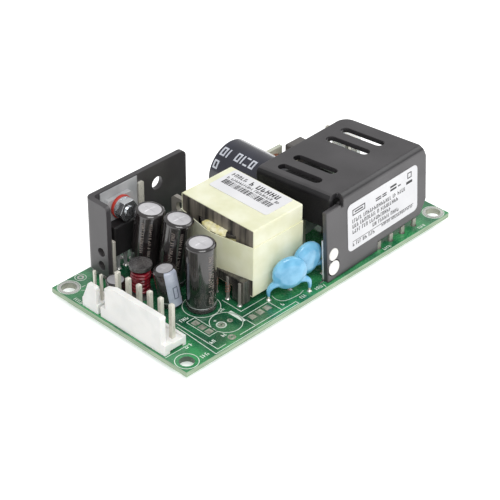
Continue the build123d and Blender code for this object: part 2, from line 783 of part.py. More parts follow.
def primary_cover():
    y1 = COV_Y0 + COV_LEN
    arm = 5 * COV_BEND_R
    wall = COV_Y0 + COV_T
    shell = bent_sheet(NOTCH_X, COV_X1, COV_Y0, COV_Y0 + arm, BOARD_T, COV_TOP, Axis.X)
    shell += bent_sheet(COV_X0, COV_X0 + arm, SIDE_Y0, y1, COV_SIDE_Z, COV_TOP, Axis.Y)
    shell += block(COV_X0 + 4, TOP_X1, COV_Y0 + 4, y1, COV_TOP - COV_T, COV_TOP)
    # the wall is a little longer than the top, so its upper corner is cut back
    over = COV_X1 + 1
    low = COV_TOP - TOP_SLOPE
    corner = Polyline((TOP_X1, COV_TOP + 1), (TOP_X1, COV_TOP - COV_T / 4),
                      (COV_X1, low), (over, low), (over, COV_TOP + 1), close=True)
    corner = extrude(Plane.XZ * make_face(corner), COV_LEN + 2)
    shell -= Pos(0, y1 + 1, 0) * corner
    shell += block(COV_EAR_X, NOTCH_X, COV_Y0, wall, BOARD_T, COV_EAR_TOP)
    shell -= block(NOTCH_X - 1, NOTCH_X + 0.1, COV_Y0 - 1, wall + 0.5,
                   COV_EAR_TOP - 0.9, COV_TOP)
    # raised foot line at the mains end, with a cut corner
    x = FOOT_X
    z = FOOT_Z + CORNER_H
    foot = Polyline((x, 0), (x, FOOT_Z), (COV_X1 - CORNER_W, FOOT_Z), (COV_X1, z),
                    (COV_X1 + 1, z), (COV_X1 + 1, 0), close=True)
    shell -= Pos(0, wall + 1, 0) * extrude(Plane.XZ * make_face(foot), COV_T + 2)
    upright = shell.edges().filter_by(Axis.Z)
    shell = fillet(upright.filter_by(at_xy(TOP_X1, y1)), TOP_CORNER_R)
    cuts = []
    for x in SLOT_XS:
        slot = SlotOverall(SLOT_L, SLOT_W, rotation=90)
        cuts.append(Pos(x, SLOT_Y, COV_TOP - 4) * extrude(slot, 8))
    for z, d in EAR_HOLES:
        cuts.append(rod_y(d / 2, EAR_HOLE_X, z, COV_Y0 - 1, wall + 1))
    return shell.cut(*cuts)


def wall_y(x, depth):
    # Y of a point this deep behind the cover's outer face, at the board
    return COV_Y0 + depth + (x - COV_EAR_X) * math.tan(math.radians(COV_TURN))


def cover_tab():
    # a soldered foot plate, seen through the two holes of the ear
    y0 = COV_Y0 + COV_T
    x0 = EAR_HOLE_X - FOOT_TAB_W / 2 + 0.7
    x1 = x0 + FOOT_TAB_W
    plate = block(x0, x1, y0, y0 + TAB_T, BOARD_T + FOOT_CLEAR, FOOT_TAB_TOP)
    plate = lean_cover(plate)
    wall = block(x0 - 2, x1 + 2, COV_Y0, y0, 0, COV_EAR_TOP)
    posts = []
    for z, d in EAR_HOLES:
        wall -= rod_y(d / 2, EAR_HOLE_X, z, COV_Y0 - 1, y0 + 1)
        post = rod_y(d / 2 - POST_CLEAR, EAR_HOLE_X, z, COV_Y0 - 0.1, y0 + TAB_T / 2)
        posts.append(lean_cover(post))
    for x in (x0 + FOOT_TAB_LEG / 2, x1 - FOOT_TAB_LEG / 2):
        y = wall_y(x, COV_T + TAB_T / 2)
        plate += flat_lead(x, y, FOOT_TAB_LEG, TAB_T, BOARD_T + 0.4)
    return (plate - lean_cover(wall)) + posts


def cover_label():
    sticker = Box(LABEL_L, LABEL_H, LABEL_T)
    sticker = fillet(sticker.edges().filter_by(Axis.Z), LABEL_H * 0.11)
    upright = Rot(90, 0, 0) * sticker
    return Pos(LABEL_X, COV_Y0 - LABEL_T / 2, LABEL_Z) * upright


def bridge_rectifier():
    y0 = COV_Y0 + COV_T
    z0 = FOOT_Z + BRIDGE_LIFT
    x0 = BRIDGE_X - BRIDGE_W / 2
    x1 = BRIDGE_X + BRIDGE_W / 2
    body = block(x0, x1, y0, y0 + BRIDGE_T, z0, z0 + BRIDGE_H)
    upper = body.edges().filter_by(Axis.Y).group_by(Axis.Z)[-1]
    body = chamfer(upper.sort_by(Axis.X)[-1], BRIDGE_CUT)
    body = lean_cover(body)
    # each lead steps forward under the raised foot line
    w = BRIDGE_LEAD_W / 2
    t = BRIDGE_LEAD_T
    leads = []
    for k in range(4):
        x = BRIDGE_X + (k - 1.5) * BRIDGE_PITCH - BRIDGE_STEP_X
        y = wall_y(x, COV_T + BRIDGE_LEAD_Y)
        low = y - BRIDGE_STEP
        z = FOOT_Z - t
        lead = flat_lead(x, low, 2 * w, t, z)
        lead += block(x - w, x + w, low - t / 2, y + t / 2, z - t, z)
        lead += block(x - w, x + w, y - t / 2, y + t / 2, z - t, z0 + 1.2)
        leads.append(lead)
    return body.cut(*leads), group(leads)


def choke():
    x0, x1 = CHOKE_X - CHOKE_W / 2, CHOKE_X + CHOKE_W / 2
    y0, y1 = CHOKE_Y - CHOKE_L / 2, CHOKE_Y + CHOKE_L / 2
    z0, z1 = BOARD_T, BOARD_T + CHOKE_H
    w = CHOKE_WALL
    z = CHOKE_AXIS_Z
    bobbin = block(x0, x1, y0, y1, z0, z0 + w)
    bobbin += rod_y(CHOKE_CORE_D / 2, CHOKE_X, z, y0, y1)
    for y in (y0 + w / 2, CHOKE_Y, y1 - w / 2):
        bobbin += block(x0, x1, y - w / 2, y + w / 2, z0, z1)
    coils = []
    for a, b in ((y0 + w, CHOKE_Y - w / 2), (CHOKE_Y + w / 2, y1 - w)):
        coil = rod_y(CHOKE_COIL_D / 2, CHOKE_X, z, a, b)
        coils.append(coil - rod_y(CHOKE_CORE_D / 2, CHOKE_X, z, a, b))
    pins = []
    for x in (x0 + w, x1 - w):
        for y in (y0 + w + 0.4, y1 - w - 0.4):
            pins.append(round_lead(x, y, BOARD_T + LEAD_SINK))
    return bobbin.cut(*pins), group(coils), pins


def radial_leads(x, y, pitch, top):
    return [round_lead(x, y + s * pitch / 2, top) for s in (-1, 1)]


def boxed_capacitor():
    x0, x1 = BOX_X - BOX_W / 2, BOX_X + BOX_W / 2
    y0, y1 = BOX_Y - BOX_L / 2, BOX_Y + BOX_L / 2
    shell = block(x0, x1, y0, y1, BOARD_T, BOARD_T + BOX_H)
    shell = chamfer(shell.faces().sort_by(Axis.Z)[-1].edges(), BOX_R)
    pins = radial_leads(BOX_X, BOX_Y, BOX_L - 3, BOARD_T + LEAD_SINK)
    return shell.cut(*pins), pins


def fuse():
    z = BOARD_T + FUSE_LIFT
    body = rod(FUSE_D / 2, FUSE_X, FUSE_Y, z, z + FUSE_H)
    body = chamfer(body.edges().filter_by(GeomType.CIRCLE).sort_by(Axis.Z)[-1], BOX_R)
    pins = radial_leads(FUSE_X, FUSE_Y, RADIAL_PITCH, z + LEAD_SINK)
    return body.cut(*pins), pins


def thermistor():
    half = THERM_T / 2
    body = rod_x(THERM_D / 2, THERM_Y, THERM_Z, THERM_X - half, THERM_X + half)
    body = chamfer(body.edges().filter_by(GeomType.CIRCLE), half / 2)
    top = THERM_Z - THERM_D * 0.35
    pins = radial_leads(THERM_X, THERM_Y, THERM_PITCH, top)
    return body.cut(*pins), pins


def surface_parts():
    out = []
    for x, y, turn in CHIPS:
        chip = Box(CHIP_L, CHIP_W, CHIP_T)
        out.append(Pos(x, y, -CHIP_T / 2) * Rot(0, 0, turn) * chip)
    driver = Box(DRIVER_L, DRIVER_W, DRIVER_T)
    driver = chamfer(driver.faces().sort_by(Axis.Z)[0].edges(), DRIVER_T * 0.2)
    out.append(Pos(DRIVER_AT[0], DRIVER_AT[1], -DRIVER_T / 2) * driver)
    return group(out)


def main():
    os.makedirs("parts", exist_ok=True)
    parts = {}
    parts["output_header_housing"], parts["output_header_pins"] = output_header()
    parts["inlet_header_housing"], parts["inlet_header_pins"] = inlet_header()
    housing, pins = auxiliary_header()
    parts["auxiliary_header_housing"] = housing
    parts["auxiliary_header_pins"] = pins

    parts["output_heatsink"] = output_heatsink()
    parts["output_heatsink_tab"] = heatsink_tab()
    parts["insulating_pad"] = insulating_pad()
    back = SINK_Y - SINK_T - PAD_T
    body, metal = package(SCREW_X, back, 0, SCREW_Z + TO_HOLE_DROP)
    parts["output_rectifier_body"] = body
    parts["output_rectifier_leadframe"] = metal
    shoulder, lock, nut, screw = fastening()
    parts["shoulder_washer"] = shoulder
    parts["lock_washer"] = lock
    parts["hex_nut"] = nut
    parts["clamp_screw"] = screw
    parts["ground_strap"] = ground_strap()
    body, metal = package(STAND_X, STAND_Y, 90, STAND_TOP, STAND_W)
    parts["standing_transistor_body"] = body
    parts["standing_transistor_leadframe"] = metal

    leads = []
    for name, spec in (("a", CAN_A), ("b", CAN_B), ("c", CAN_C)):
        can, sleeve = can_capacitor(spec, CAN_D, CAN_H)
        parts["output_capacitor_" + name + "_can"] = can
        parts["output_capacitor_" + name + "_sleeve"] = sleeve
        leads += can_leads(spec, CAN_PITCH, can)
    can, sleeve = can_capacitor(STRIPED, SMALL_CAN_D, SMALL_CAN_H)
    parts["striped_capacitor_can"] = can
    parts["striped_capacitor_sleeve"] = sleeve
    leads += can_leads(STRIPED, SMALL_PITCH, can)
    parts["low_capacitor_can"] = low_capacitor()
    leads += can_leads(LOW_CAN, SMALL_PITCH)
    core, coil = drum_inductor()
    parts["drum_inductor_core"] = core
    parts["drum_inductor_winding"] = coil
    leads += can_leads((DRUM_X, DRUM_Y), SMALL_PITCH)

    upper, lower = transformer_core()
    parts["transformer_core_upper"] = upper
    parts["transformer_core_lower"] = lower
    bobbin, pins = transformer_bobbin()
    parts["transformer_bobbin"] = bobbin
    parts["transformer_pins"] = pins
    parts["transformer_winding"] = transformer_winding()
    parts["transformer_core_tape"] = core_tape()
    parts["transformer_belt_tape"] = belt_tape()
    parts["transformer_label"] = transformer_label()

    can, sleeve, wires = bulk_capacitor()
    parts["bulk_capacitor_can"] = can
    parts["bulk_capacitor_sleeve"] = sleeve
    leads += wires
    parts["capacitor_leads"] = group(leads)

    front, front_leads = disc_capacitor(DISC_FRONT)
    rear, rear_leads = disc_capacitor(DISC_REAR)
    parts["front_disc_capacitor"] = front
    parts["rear_disc_capacitor"] = rear
    parts["disc_capacitor_leads"] = group(front_leads + rear_leads)

    parts["primary_cover"] = lean_cover(primary_cover())
    parts["primary_cover_tab"] = cover_tab()
    parts["cover_label"] = lean_cover(cover_label())
    body, metal = bridge_rectifier()
    parts["bridge_rectifier_body"] = body
    parts["bridge_rectifier_leads"] = metal
    body, metal = package(SWITCH_X, SWITCH_Y, 180, SWITCH_TOP)
    parts["switching_transistor_body"] = body
    parts["switching_transistor_leadframe"] = metal

    hidden = []
    bobbin, coils, pins = choke()
    parts["line_choke_bobbin"] = bobbin
    parts["line_choke_windings"] = coils
    hidden += pins
    parts["boxed_capacitor"], pins = boxed_capacitor()
    hidden += pins
    parts["line_fuse"], pins = fuse()
    hidden += pins
    parts["inrush_thermistor"], pins = thermistor()
    hidden += pins
    parts["primary_part_leads"] = group(hidden)
    parts["surface_parts"] = surface_parts()

    parts["circuit_board"] = board()
    parts["solder_joints"] = group(joints)
    for name, shape in parts.items():
        export_step(shape, "parts/" + name + ".step")
    print(len(parts), "parts")


main()
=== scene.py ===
import math
import random
import bmesh
import bpy
from mathutils import Matrix, Vector, noise


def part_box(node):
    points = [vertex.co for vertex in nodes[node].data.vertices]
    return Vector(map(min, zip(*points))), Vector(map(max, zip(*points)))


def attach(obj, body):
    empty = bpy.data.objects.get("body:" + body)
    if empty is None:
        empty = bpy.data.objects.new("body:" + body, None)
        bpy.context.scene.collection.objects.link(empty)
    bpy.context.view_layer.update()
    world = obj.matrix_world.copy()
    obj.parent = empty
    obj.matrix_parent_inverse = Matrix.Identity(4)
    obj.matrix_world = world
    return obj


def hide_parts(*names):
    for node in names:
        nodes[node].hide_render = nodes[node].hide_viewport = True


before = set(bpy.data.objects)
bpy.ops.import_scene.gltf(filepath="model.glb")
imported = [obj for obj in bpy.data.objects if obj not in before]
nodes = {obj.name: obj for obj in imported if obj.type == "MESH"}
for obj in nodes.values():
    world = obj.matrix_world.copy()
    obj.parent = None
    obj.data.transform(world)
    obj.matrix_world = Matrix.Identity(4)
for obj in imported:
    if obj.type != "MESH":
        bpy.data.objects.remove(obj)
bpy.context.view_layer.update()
mm = 0.001
print("frame loaded,", len(nodes), "CAD nodes")


# colours and finishes
def tone(r, g, b):
    def linear(c):
        c = c / 255
        return c / 12.92 if c <= 0.04045 else ((c + 0.055) / 1.055) ** 2.4
    return (linear(r), linear(g), linear(b), 1)


def feed(tree, socket, value):
    # a socket takes another node's output or a plain value
    if hasattr(value, "links"):
        tree.links.new(value, socket)
    else:
        socket.default_value = value


def addNode(tree, kind, settings=None, **inputs):
    node = tree.nodes.new("ShaderNode" + kind)
    for key, value in (settings or {}).items():
        setattr(node, key, value)
    for key, value in inputs.items():
        feed(tree, node.inputs[key.replace("_", " ")], value)
    return node


def combine(tree, operation, first, second):
    node = addNode(tree, "Math", {"operation": operation})
    feed(tree, node.inputs[0], first)
    feed(tree, node.inputs[1], second)
    return node.outputs[0]


def blend(tree, factor, first, second):
    node = addNode(tree, "Mix", {"data_type": "RGBA"})
    for index, value in ((0, factor), (6, first), (7, second)):
        feed(tree, node.inputs[index], value)
    return node.outputs[2]


def ramp(tree, factor, stops):
    # stops: two places and their colours
    node = addNode(tree, "ValToRGB", Fac=factor)
    for element, (spot, colour) in zip(node.color_ramp.elements, stops):
        element.position = spot
        element.color = colour
    return node.outputs["Color"]


def spread(tree, value, low, high, fromLow=0.3, fromHigh=0.7):
    node = addNode(tree, "MapRange", Value=value, To_Min=low, To_Max=high)
    node.inputs["From Min"].default_value = fromLow
    node.inputs["From Max"].default_value = fromHigh
    return node.outputs[0]


def objectPlace(tree, stretch=(1, 1, 1)):
    spot = addNode(tree, "TexCoord")
    scaled = addNode(tree, "Mapping", Vector=spot.outputs["Object"], Scale=stretch)
    return scaled.outputs[0]


def cloud(tree, place, size, detail=2.0):
    # noise whose lumps are about this many millimetres across
    return addNode(tree, "TexNoise", Vector=place, Scale=1 / (size * mm), Detail=detail).outputs[0]


# what a finish has unless its own line differs; patch, grain, depth and glow in millimetres
finishBase = {"patch": 6.0, "grain": 0.5, "stretch": (1, 1, 1), "strength": 0.5, "depth": 0.02,
              "metal": 0.0, "specular": 0.5, "coat": 0.0, "coatRough": 0.1, "glow": 0.0,
              "glowDepth": 0.6, "glowColours": (1, 0.8, 0.6), "shades": (0.36, 0.64)}


def makeFinish(name, low, high, gloss, changes):
    look = {**finishBase, **changes}
    material = bpy.data.materials.new(name)
    material.use_nodes = True
    tree = material.node_tree
    shader = tree.nodes["Principled BSDF"]
    place = objectPlace(tree, look["stretch"])
    patches = cloud(tree, place, look["patch"], 3.0)
    grain = cloud(tree, place, look["grain"])
    dark, light = look["shades"]
    colour = ramp(tree, patches, [(dark, tone(*low)), (light, tone(*high))])
    tree.links.new(colour, shader.inputs["Base Color"])
    tree.links.new(spread(tree, grain, *gloss), shader.inputs["Roughness"])
    bump = addNode(tree, "Bump", Height=grain, Strength=look["strength"],
                   Distance=look["depth"] * mm)
    tree.links.new(bump.outputs[0], shader.inputs["Normal"])
    shader.inputs["Metallic"].default_value = look["metal"]
    shader.inputs["Specular IOR Level"].default_value = look["specular"]
    shader.inputs["Coat Weight"].default_value = look["coat"]
    shader.inputs["Coat Roughness"].default_value = look["coatRough"]
    if look["glow"]:
        shader.inputs["Subsurface Weight"].default_value = look["glow"]
        shader.inputs["Subsurface Radius"].default_value = look["glowColours"]
        shader.inputs["Subsurface Scale"].default_value = look["glowDepth"] * mm
    return material


# mesh helpers: lengths in millimetres, angles in degrees
meshLook = {"weld": 0.002, "flat": 1, "edgeSteps": 2, "edgeAngle": 32, "edgeProfile": 0.6,
            "evenWeight": 100, "faceAlong": 0.97}


def addObject(name, data):
    made = bpy.data.objects.new(name, data)
    bpy.context.scene.collection.objects.link(made)
    return made


def addPiece(name, bm, look, sharp=35):
    mesh = bpy.data.meshes.new(name)
    bm.to_mesh(mesh)
    bm.free()
    mesh.materials.append(finish[look])
    mesh.shade_smooth()
    mesh.set_sharp_from_angle(angle=math.radians(sharp))
    piece = addObject(name, mesh)
    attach(piece, "root")
    return piece


def applyModifiers(piece):
    # the modifiers' result becomes the piece's own mesh
    spot = bpy.context.evaluated_depsgraph_get()
    made = bpy.data.meshes.new_from_object(piece.evaluated_get(spot))
    made.name = piece.name
    piece.modifiers.clear()
    piece.data = made


def evenNormals(piece):
    # flat faces stay flat beside the small rounded edges
    modifier = piece.modifiers.new("evenNormals", "WEIGHTED_NORMAL")
    modifier.keep_sharp = True
    modifier.weight = meshLook["evenWeight"]
    applyModifiers(piece)


def cleanCopy(node, merge=True):
    bm = bmesh.new()
    bm.from_mesh(nodes[node].data)
    bmesh.ops.remove_doubles(bm, verts=bm.verts, dist=meshLook["weld"] * mm)
    if merge:
        bmesh.ops.dissolve_limit(bm, angle_limit=math.radians(meshLook["flat"]),
                                 verts=bm.verts, edges=bm.edges)
    return bm


def softenEdges(bm, width, steps, limit=meshLook["edgeAngle"], keep=None):
    edges = []
    for edge in bm.edges:
        if len(edge.link_faces) == 2 and edge.calc_face_angle(0) > math.radians(limit):
            if keep is None or keep(edge):
                edges.append(edge)
    bmesh.ops.bevel(bm, geom=edges, offset=width * mm, segments=steps,
                    profile=meshLook["edgeProfile"], affect="EDGES", clamp_overlap=False)


def softNode(node, look, width):
    # the CAD shape with the real piece's small edge radius; thin wraps have width 0
    bm = cleanCopy(node, width > 0)
    if width > 0:
        softenEdges(bm, width, meshLook["edgeSteps"])
    piece = addPiece(node + "_soft", bm, look)
    evenNormals(piece)
    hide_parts(node)
    return piece


def meltedNode(node, look):
    # a dipped body: one skin with its facets smoothed away
    bm = cleanCopy(node)
    piece = addPiece(node + "_smooth", bm, look["finish"])
    skin = piece.modifiers.new("skin", "REMESH")
    skin.mode = "VOXEL"
    skin.voxel_size = look["voxel"] * mm
    skin.use_smooth_shade = True
    relax = piece.modifiers.new("relax", "SMOOTH")
    relax.factor = look["factor"]
    relax.iterations = look["rounds"]
    applyModifiers(piece)
    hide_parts(node)


def paintFaces(piece, look, test):
    # faces whose middle, in millimetres, and normal pass the test get another finish
    mesh = piece.data
    mesh.materials.append(finish[look])
    index = len(mesh.materials) - 1
    for face in mesh.polygons:
        if test(face.center / mm, face.normal):
            face.material_index = index


def box(bm, low, high):
    centre = [(a + b) / 2 * mm for a, b in zip(low, high)]
    size = [(b - a) * mm for a, b in zip(low, high)]
    for v in bmesh.ops.create_cube(bm, size=1)["verts"]:
        v.co = Vector([c + s * k for c, s, k in zip(centre, size, v.co)])


def lathe(bm, profile, steps, place):
    # profile: radius and height pairs in millimetres, turned about Z
    rings = []
    for radius, height in profile:
        ring = []
        if radius < 1e-6:
            ring = [bm.verts.new((0, 0, height * mm))] * steps
        else:
            for k in range(steps):
                a = 2 * math.pi * k / steps
                ring.append(bm.verts.new((radius * math.cos(a) * mm,
                                          radius * math.sin(a) * mm, height * mm)))
        rings.append(ring)
    for lower, upper in zip(rings, rings[1:]):
        for k in range(steps):
            n = (k + 1) % steps
            corners = []
            for v in (lower[k], lower[n], upper[n], upper[k]):
                if v not in corners:
                    corners.append(v)
            if len(corners) > 2:
                bm.faces.new(corners)
    for v in {v for ring in rings for v in ring}:
        v.co = place @ v.co


def tube(bm, points, radius, sides=8):
    # round wire along points, in millimetres
    path = [Vector(p) * mm for p in points]
    rings = []
    side = None
    for k, spot in enumerate(path):
        ahead = path[min(k + 1, len(path) - 1)] - path[max(k - 1, 0)]
        ahead.normalize()
        if side is None:
            side = ahead.orthogonal().normalized()
        side = (side - ahead * side.dot(ahead)).normalized()
        other = ahead.cross(side)
        ring = []
        for s in range(sides):
            a = 2 * math.pi * s / sides
            out = side * math.cos(a) + other * math.sin(a)
            ring.append(bm.verts.new(spot + out * radius * mm))
        rings.append(ring)
    for lower, upper in zip(rings, rings[1:]):
        for s in range(sides):
            n = (s + 1) % sides
            bm.faces.new((lower[s], lower[n], upper[n], upper[s]))
    bm.faces.new(rings[0][::-1])
    bm.faces.new(rings[-1])


def joinRows(bm, rows):
    for lower, upper in zip(rows, rows[1:]):
        for k in range(len(lower) - 1):
            bm.faces.new((lower[k], lower[k + 1], upper[k + 1], upper[k]))


def flatPrint(origin, right, up):
    # turns print coordinates in millimetres into places on a flat face
    start, across, upward = Vector(origin), Vector(right), Vector(up)
    return lambda x, y: (start + across * x + upward * y) * mm


def roundPrint(foot, axis, radius, angle):
    # x runs along the axis, y around it, from the given angle
    foot, axis = Vector(foot), Vector(axis).normalized()
    east = Vector((1, 0, 0)) - axis * axis.x
    if east.length < 0.5:
        east = Vector((0, 1, 0)) - axis * axis.y
    east.normalize()
    north = axis.cross(east)

    def spot(x, y):
        a = math.radians(angle) + y / radius
        return (foot + axis * x + (east * math.cos(a) + north * math.sin(a)) * radius) * mm
    return spot


def mark(bm, spot, x0, y0, x1, y1, steps=1):
    # a printed rectangle, in strips where its face is round
    for k in range(steps):
        low = y0 + (y1 - y0) * k / steps
        high = y0 + (y1 - y0) * (k + 1) / steps
        corners = ((x0, low), (x1, low), (x1, high), (x0, high))
        bm.faces.new([bm.verts.new(spot(x, y)) for x, y in corners])


def stroke(bm, spot, points, width):
    # a printed line through points
    flat = [Vector(p) for p in points]
    left, right = [], []
    for k, here in enumerate(flat):
        before = flat[k] - flat[max(k - 1, 0)]
        after = flat[min(k + 1, len(flat) - 1)] - flat[k]
        if before.length < 1e-9:
            before = after
        if after.length < 1e-9:
            after = before
        way = (before.normalized() + after.normalized()).normalized()
        out = Vector((-way.y, way.x)) * width / 2 / max(0.5, way.dot(after.normalized()))
        left.append(bm.verts.new(spot(*(here + out))))
        right.append(bm.verts.new(spot(*(here - out))))
    for k in range(len(flat) - 1):
        bm.faces.new((right[k], right[k + 1], left[k + 1], left[k]))


def circle(x, y, radius, steps=48):
    out = []
    for k in range(steps + 1):
        a = math.radians(360 * k / steps)
        out.append((x + radius * math.cos(a), y + radius * math.sin(a)))
    return out


# plain print: chances and parts of the line's height; bars, gaps and lifts in millimetres
printLook = {"blank": 0.5, "blankChance": 0.15, "wide": (0.3, 0.5), "thin": 0.2,
             "levels": (0.0, 0.42, 0.85), "postChance": 0.5, "posts": (0.55, 1.0),
             "apart": 0.24, "bars": (0.14, 0.14, 0.28, 0.42), "gaps": (0.16, 0.16, 0.32),
             "labelLift": 0.02, "sleeveLift": 0.03}


def plainPrint(bm, spot, x0, x1, y, height, seed):
    # short bars that stand for a line of print and are no letters
    look, draw = printLook, random.Random(seed)
    x = x0
    while x < x1 - height * look["blank"]:
        if draw.random() < look["blankChance"]:
            x += height * look["blank"]
            continue
        wide = height * draw.uniform(*look["wide"])
        thin = height * look["thin"]
        level = y + height * draw.choice(look["levels"])
        mark(bm, spot, x, y, x + thin, y + height)
        mark(bm, spot, x + thin, level, x + wide, level + thin)
        if draw.random() < look["postChance"]:
            top = y + height * draw.choice(look["posts"])
            mark(bm, spot, x + wide, y, x + wide + thin, top)
            wide += thin
        x += wide + height * look["apart"]


def barRow(bm, spot, x0, x1, y, height, seed):
    draw = random.Random(seed)
    x = x0
    while x < x1:
        wide = draw.choice(printLook["bars"])
        mark(bm, spot, x, y, x + wide, y + height)
        x += wide + draw.choice(printLook["gaps"])


def facePlace(node, way):
    # middle, in millimetres, and direction of the flat face that looks one way
    way = Vector(way)
    total, middle, normal = 0, Vector(), Vector()
    for face in nodes[node].data.polygons:
        if face.normal.dot(way) > meshLook["faceAlong"]:
            total += face.area
            middle += face.center * face.area
            normal += face.normal * face.area
    return middle / total / mm, normal.normalized()


print("helpers ready")

# finishes: darker and lighter colour, roughness from and to, and what differs from finishBase
plainLook = {
    "nylon": ((230, 231, 228), (241, 241, 238), (0.38, 0.5), {"grain": 0.4, "glow": 0.15}),
    "tin": ((206, 203, 192), (230, 227, 216), (0.24, 0.4),
        {"metal": 0.35, "grain": 0.3, "stretch": (1, 1, 0.15)}),
    "blackSheet": ((55, 53, 55), (68, 66, 68), (0.3, 0.4),
        {"grain": 0.16, "depth": 0.015, "patch": 14, "specular": 0.7}),
    "zinc": ((205, 208, 211), (226, 229, 232), (0.1, 0.2),
        {"metal": 0.92, "grain": 0.6, "depth": 0.015}),
    "tabMetal": ((160, 162, 163), (180, 181, 182), (0.45, 0.6), {"metal": 0.1, "grain": 0.4}),
    "dullLead": ((150, 146, 140), (186, 182, 174), (0.3, 0.45),
        {"metal": 0.3, "grain": 0.4, "depth": 0.03}),
    "brightTin": ((232, 231, 226), (244, 243, 239), (0.3, 0.42), {"metal": 0.1}),
    "redPlastic": ((170, 44, 34), (198, 62, 48), (0.25, 0.35), {"grain": 0.4}),
    "padCloth": ((158, 160, 162), (180, 181, 182), (0.6, 0.75), {"grain": 0.35, "depth": 0.05}),
    "epoxy": ((32, 31, 32), (44, 43, 44), (0.4, 0.55), {"grain": 0.2, "depth": 0.03}),
    "canTop": ((204, 203, 207), (226, 225, 228), (0.3, 0.42), {"metal": 0.55, "grain": 0.25}),
    "sleeve": ((26, 23, 24), (42, 38, 38), (0.12, 0.24),
        {"grain": 2.2, "depth": 0.06, "coat": 1.0, "coatRough": 0.05}),
    "bulkSleeve": ((26, 28, 42), (36, 38, 54), (0.16, 0.26),
        {"grain": 3.5, "depth": 0.06, "coat": 0.5}),
    "ferrite": ((42, 40, 38), (122, 115, 106), (0.32, 0.55),
        {"grain": 0.3, "depth": 0.04, "patch": 1.7, "stretch": (1, 1, 0.12), "coat": 0.3}),
    "drumCore": ((62, 60, 60), (88, 85, 84), (0.2, 0.36),
        {"depth": 0.04, "patch": 2.5, "coat": 0.9}),
    "crimson": ((112, 14, 30), (176, 38, 54), (0.14, 0.24), {"grain": 0.8, "coat": 0.6}),
    "blueDip": ((98, 172, 212), (128, 196, 232), (0.12, 0.2),
        {"grain": 1.6, "depth": 0.05, "patch": 3, "coat": 0.8, "coatRough": 0.03}),
    "creamTape": ((226, 226, 192), (238, 238, 212), (0.28, 0.42),
        {"grain": 2.6, "depth": 0.07, "glow": 0.1}),
    "yellowTape": ((226, 216, 146), (246, 242, 208), (0.15, 0.3),
        {"grain": 0.9, "depth": 0.1, "strength": 0.6, "patch": 1.6, "coat": 0.5}),
    "phenolic": ((44, 42, 41), (88, 84, 78), (0.2, 0.36),
        {"patch": 1.6, "stretch": (1, 1, 0.14), "depth": 0.03, "coat": 0.5}),
    "paper": ((224, 224, 227), (231, 231, 233), (0.45, 0.55),
        {"grain": 0.3, "depth": 0.01, "patch": 9}),
    "labelInk": ((24, 24, 28), (42, 42, 46), (0.45, 0.55), {"grain": 0.3, "depth": 0.01}),
    "silkInk": ((206, 224, 208), (232, 240, 232), (0.5, 0.65), {"grain": 0.4, "patch": 1.2}),
    "solder": ((196, 196, 192), (224, 223, 218), (0.16, 0.32),
        {"metal": 0.6, "grain": 0.6, "depth": 0.05}),
    "dullPad": ((124, 132, 118), (184, 186, 172), (0.3, 0.5),
        {"metal": 0.3, "depth": 0.05, "patch": 0.9}),
    "bareLaminate": ((138, 162, 132), (170, 190, 162), (0.5, 0.65),
        {"grain": 0.3, "depth": 0.06, "patch": 1.6, "stretch": (0.2, 0.2, 3)}),
    "maskedHole": ((58, 76, 62), (88, 106, 90), (0.3, 0.45), {"grain": 0.4, "depth": 0.03}),
    # painted shade: darker copies of the black sheet, for the cover's long bend and its recessed
    # front and side
    "bend": ((38, 37, 39), (46, 45, 47), (0.3, 0.4),
        {"grain": 0.16, "depth": 0.015, "patch": 14, "specular": 0.6}),
    "recess": ((30, 29, 31), (42, 41, 43), (0.26, 0.36),
        {"specular": 0.35, "grain": 0.16, "depth": 0.015, "patch": 14}),
    "platedHole": ((150, 152, 140), (186, 186, 172), (0.3, 0.45),
        {"metal": 0.5, "grain": 0.4, "depth": 0.03}),
    "greyBox": ((86, 84, 83), (108, 105, 102), (0.35, 0.5), {"depth": 0.03}),
    "bobbinPale": ((186, 190, 174), (210, 212, 196), (0.4, 0.55), {"depth": 0.03}),
    "copperWire": ((138, 82, 60), (186, 128, 102), (0.2, 0.32), {"metal": 0.4, "coat": 0.4}),
    "wireEnd": ((118, 90, 76), (166, 134, 114), (0.2, 0.32), {"coat": 0.4}),
    "greenCoat": ((34, 52, 40), (50, 70, 52), (0.4, 0.55), {"grain": 0.6, "depth": 0.05}),
    "brownCase": ((40, 34, 32), (56, 48, 44), (0.4, 0.55), {"depth": 0.03}),
    "sleevePrint": ((112, 102, 98), (148, 138, 132), (0.35, 0.5),
        {"grain": 0.4, "depth": 0.01, "patch": 0.8}),
    "whitePrint": ((190, 194, 204), (214, 218, 226), (0.35, 0.5), {"grain": 0.4, "depth": 0.01}),
    "stripePrint": ((158, 166, 184), (186, 192, 206), (0.2, 0.3), {"grain": 1.2, "coat": 0.4}),
    "stripeMark": ((78, 84, 100), (98, 104, 120), (0.25, 0.35), {"grain": 1.2}),
}
finish = {name: makeFinish(name, *look) for name, look in plainLook.items()}


